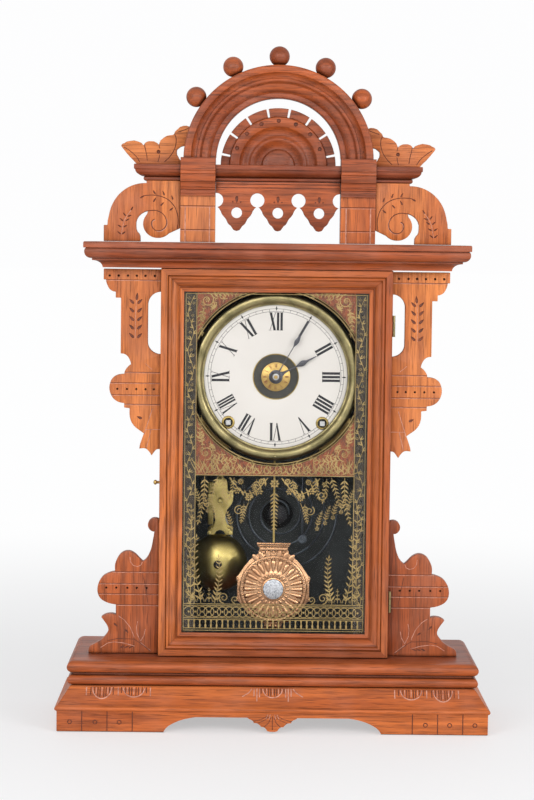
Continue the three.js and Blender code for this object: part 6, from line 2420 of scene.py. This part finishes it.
@dataclass
class Pendulum:
    """The pressed bob in front of its crowned sheet."""

    z: float = 117.6
    radius: float = 30.2
    y: float = -4.4

    def outline(self) -> Outline:
        """Give the sheet's outline about the bob's middle."""
        half = [
            (15, 41.5), (15, 40), (14.2, 39.6), (14.2, 38.2), (12.8, 37.6), (12.8, 34.4),
            (13.5, 33.6),
            (13.5, 31.8), (16.6, 29.4), (21.1, 26), (26, 20), (30.2, 13.6), (31.6, 11.2),
            (32.6, 11.4),
            (32.8, 10.2), (33.2, 9.7), (33.2, 7.4), (32.2, 6.8), (32.2, -7.4), (33.2, -8),
            (33.2, -10.6),
            (33, -10.8), (31.4, -11.4), (30.2, -12.1), (24, -21), (14, -29.4), (8, -31.2),
            (7.6, -33.2),
            (8, -35), (7.2, -36.2),
        ]
        return half + mirrored(half)

    def petals(self, name: str, count: int, radii: Flat, width: Flat, y: Flat,
               turn: float) -> bpy.types.Object:
        """Press one petal and copy it round the bob.

        Args:
            name: The ring's name.
            count: Petals in the ring.
            radii: From the middle to a petal's foot and tip.
            width: Half width at the foot and near the tip.
            y: Face that the petals stand on, and how far they stand out.
            turn: Where the first one is.

        Returns:
            All the petals.
        """
        foot, tip = radii
        span = tip - foot
        across = [-1.0, -0.86, -0.5, 0.0, 0.5, 0.86, 1.0]
        profile = [(u, 0.35 * (1 - u * u) + 0.65 * (1 - abs(u) ** 6)) for u in across]
        stations = []
        for share, swell in ((0, 0.35), (0.1, 0.75), (0.35, 0.95), (0.62, 1.0), (0.8, 0.94),
                             (0.92, 0.7), (1, 0.25)):
            half = (width[0] + (width[1] - width[0]) * share) * (swell if share > 0.6 else max(swell, 0.7))
            lift = y[1] * swell
            along = foot + span * share

            def place(point: Flat, half: float = half, lift: float = lift,
                      along: float = along) -> Place:
                """Put a point of the petal's section in its place."""
                return point[0] * half, y[0] - lift * point[1] * 0.8, along

            stations.append(place)
        petal = Bench.rail("petal", profile, stations)
        pieces = []
        for i in range(count):
            angle = turn + 2 * math.pi * i / count
            moved = Matrix.Translation((0, 0, self.z * MM)) @ Matrix.Rotation(angle, 4, "Y")
            pieces.append(Bench.twin(petal, "petal_copy", moved))
        bpy.data.objects.remove(petal)
        return Bench.weld(name, pieces)

    def build(self) -> None:
        """Make the bob and its ornament."""
        y, z = self.y, self.z
        sheet = Bench.board("bob_sheet", [(x, z + rise) for x, rise in self.outline()],
                            (y - 0.5, y + 0.5), 0.2)
        Bench.paint(sheet, COPPER.material())
        crown = []
        for k, (half, low, high) in enumerate(((12.2, 34.8, 37.4), (13.6, 38.4, 39.4),
                                               (14.2, 40, 41.2))):
            crown.append(Bench.block("crown", (-half, half), (y - 1.5, y - 0.4),
                                     (z + low, z + high), 0.4))
        for side in (-1, 1):
            for high in (8.6, -9.2):
                crown.append(Bench.ball("ear", (side * 32.0, y - 0.7, z + high), (1.1, 0.9, 1.2),
                                        8))
            for step in range(5):
                crown.append(Bench.ball("bead", (side * 31.3, y - 0.6, z - 6 + 3 * step),
                                        (0.7, 0.6, 1.2), 6))
            for lean in (20, 44, 68):
                angle = math.radians(lean)
                leaf = Bench.ball("leaf", (0, 0, 0), (2.2, 0.8, 4.4), 8)
                leaf.data.transform(Matrix.Translation(Vector((side * 26 * math.sin(angle * 0.55),
                                                               y - 0.7, z + 31 * math.cos(angle * 0.4))) * MM)
                                    @ Matrix.Rotation(side * angle * 0.6, 4, "Y"))
                crown.append(leaf)
        for k in range(-2, 3):
            crown.append(Bench.ball("tail", (k * 2.6, y - 0.7, z - 33.4 - 0.4 * (k % 2)),
                                    (1.1, 0.7, 1.9), 6))
            crown.append(Bench.ball("crest", (k * 4.6, y - 0.9, z + 33.2), (1.8, 0.9, 1.2), 6))
        mount = Bench.weld("crown", crown)
        Bench.paint(mount, COPPER.material())
        r = self.radius
        profile = [(0, y + 3.2), (r * 0.8, y + 2.4), (r - 0.4, y + 0.9), (r, y + 0.3), (r, y - 0.7),
                   (r - 0.5, y - 1.5), (r - 1.5, y - 1.9), (r - 2.4, y - 1.6), (r - 3.2, y - 1.3),
                   (r - 4, y - 1.6), (26, y - 2), (20, y - 2.3), (15.2, y - 2.3), (14.6, y - 2.6),
                   (13.6, y - 2.5), (10.4, y - 2.5), (10.1, y - 3.4), (9.4, y - 3.6),
                   (8.9, y - 3.2), (0, y - 3.2)]
        disc = Bench.turned("disc", profile, (0, z), 96)
        Bench.paint(disc, COPPER.material())
        outer = self.petals("outer_petals", 24, (15.3, 26.6), (1.35, 2.75), (y - 1.7, 2.0), 0)
        inner = self.petals("inner_petals", 24, (10.8, 14.9), (0.95, 1.5), (y - 2.1, 1.3), 0)
        rim = []
        bead = Bench.ball("rim_bead", (0, 0, 0), (0.95, 0.8, 1.2), 6)
        for i in range(48):
            moved = Matrix.Translation((0, 0,
                                        z * MM)) @ Matrix.Rotation(2 * math.pi * (i + 0.5) / 48, 4,
                                                                   "Y")
            moved = moved @ Matrix.Translation(Vector((0, y - 1.6, 27.9)) * MM)
            rim.append(Bench.twin(bead, "rim_copy", moved))
        bpy.data.objects.remove(bead)
        beads = Bench.weld("rim_beads", rim)
        for piece in (outer, inner, beads):
            Bench.paint(piece, COPPER.material())
        bob = Bench.weld("bob", [disc, sheet, mount, outer, inner, beads])
        Bench.fit(bob, "pendulum", "gilt_copper", "pendulum_bob", angle=50)
        centre = Bench.turned("bob_medallion",
                              [(0, y - 3.3), (8.8, y - 3.3), (8.8, y - 3.7), (7.6, y - 3.95),
                                                (0, y - 4.0)], (0, z), 48)
        Bench.paint(centre, SILVERED.material())
        Bench.fit(centre, "pendulum", "gilt_copper", angle=50)


# ------------------------------------------------------------------ gong and alarm


@dataclass
class Chimes:
    """Coil gong, alarm bell, and the alarm's frame."""

    gong: Flat = (4.0, 178.4)
    bell: Flat = (-50.2, 134.7)

    def coil(self) -> None:
        """Wind the gong."""
        line = []
        for i in range(4 * 44 + 1):
            angle = 2 * math.pi * i / 44
            reach = 10 + 44 * i / (4 * 44)
            line.append((self.gong[0] + reach * math.cos(angle), 49.1,
                         self.gong[1] + reach * math.sin(angle)))
        gong = Bench.rod("gong", line, 1.1, 3)
        Bench.paint(gong, GONG_STEEL.material())
        Bench.fit(gong, "case", "blued_steel", "gong_coil", angle=50)

    def dome(self) -> None:
        """Turn the bell with its post and nut."""
        rim = 40.0
        outer = [(r, rim - h) for r, h in arc(0, 0, 26.4, 0, 80, 20, 16)]
        inner = [(r, rim - h) for r, h in arc(0, 0, 25.4, 0, 78, 20, 15)]
        profile = [(0, 22.7), (1.6, 22.7), (2.3, 23.2), (2.4, 24), *reversed(outer), *inner[1:],
                   (3, 25.8),
                   (3, 60.7), (0, 60.7)]
        bell = Bench.turned("bell", profile, self.bell, 80)
        Bench.paint(bell, BELL_BRASS.material())
        Bench.fit(bell, "case", "brass", "alarm_bell", angle=50)
        hub = Bench.turned("bell_nut",
                           [(0, 22.1), (1.8, 22.2), (3.2, 22.9), (3.8, 23.6), (3.8, 24.1),
                            (2.45, 24.3)],
                           self.bell, 24)
        Bench.paint(hub, IRON.material())
        Bench.fit(hub, "case", "brass", angle=40)

    def works(self) -> None:
        """Make the alarm's skeleton frame with its pillars, drum and winding square."""
        x, z = (-59.9, -36.9), (162.9, 213.9)
        near, far = 18.0, 43.0
        middle = (x[0] + x[1]) / 2
        half = [
            (0, 4.5), (3.2, 3.2), (5.4, 0), (11.5, 0), (11.5, 2.6), (9.4, 4.4), (6.2, 6.4),
            (4.6, 10.5), (4.4, 16.5),
            (5.6, 22), (8.4, 25.4), (10.4, 28), (11.5, 31), (11.5, 36.5), (9.4, 37.6), (7.4, 36.4),
            (6.2, 38.6),
            (6.4, 43), (5.2, 47), (2.6, 49.4), (1.6, 51), (0, 51),
        ]
        outline = [(middle + u, z[0] + v) for u, v in half]
        outline += [(middle - u, z[0] + v) for u, v in reversed(half[1:-1])]
        parts = [Bench.board("plate", outline, (near, near + 1.2), 0.2),
                 Bench.board("plate", outline, (far, far + 1.2), 0.2)]
        for px in (middle - 9.2, middle + 9.2):
            for pz in (z[0] + 2, z[0] + 34):
                parts.append(Bench.turned("pillar",
                                          [(0, near - 1), (1.4, near - 0.8), (1.6, near + 0.5),
                                           (1.6, far + 0.5),
                                                     (0, far + 0.6)], (px, pz), 16))
        spring = z[0] + 31.5
        parts.append(Bench.turned("drum",
                                  [(0, near + 3), (7.6, near + 3), (8.5, near + 4),
                                   (8.5, far + 0.5),
                                           (0, far + 0.6)], (-48.4, spring), 40))
        parts.append(Bench.turned("square",
                                  [(0, near - 6), (1.6, near - 6), (2, near - 5.4), (2, near + 4),
                                             (0, near + 4)], (-48.4, spring), 12))
        foot = Bench.block("foot", (x[0], x[0] + 5), (far + 0.2, 60.7), (z[0] + 6, z[1] - 6), 0.3)
        parts.append(foot)
        made = Bench.weld("alarm_works", parts)
        Bench.paint(made, BELL_BRASS.material())
        Bench.fit(made, "case", "brass", "alarm_frame", angle=40)
        Bench.paint(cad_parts["alarm_hammer"], STEEL.material())

    def build(self) -> None:
        """Make the chimes."""
        self.coil()
        self.dome()
        self.works()


def main() -> None:
    """Build the clock."""
    logging.basicConfig(level=logging.INFO, format="%(message)s")
    for part in (Studio(), Base(), Case(), Pediment(), Door(), Dial(), Movement(), Pendulum(),
                 Chimes()):
        part.build()
        log.info("%s done", type(part).__name__)


if __name__ == "__main__":
    main()
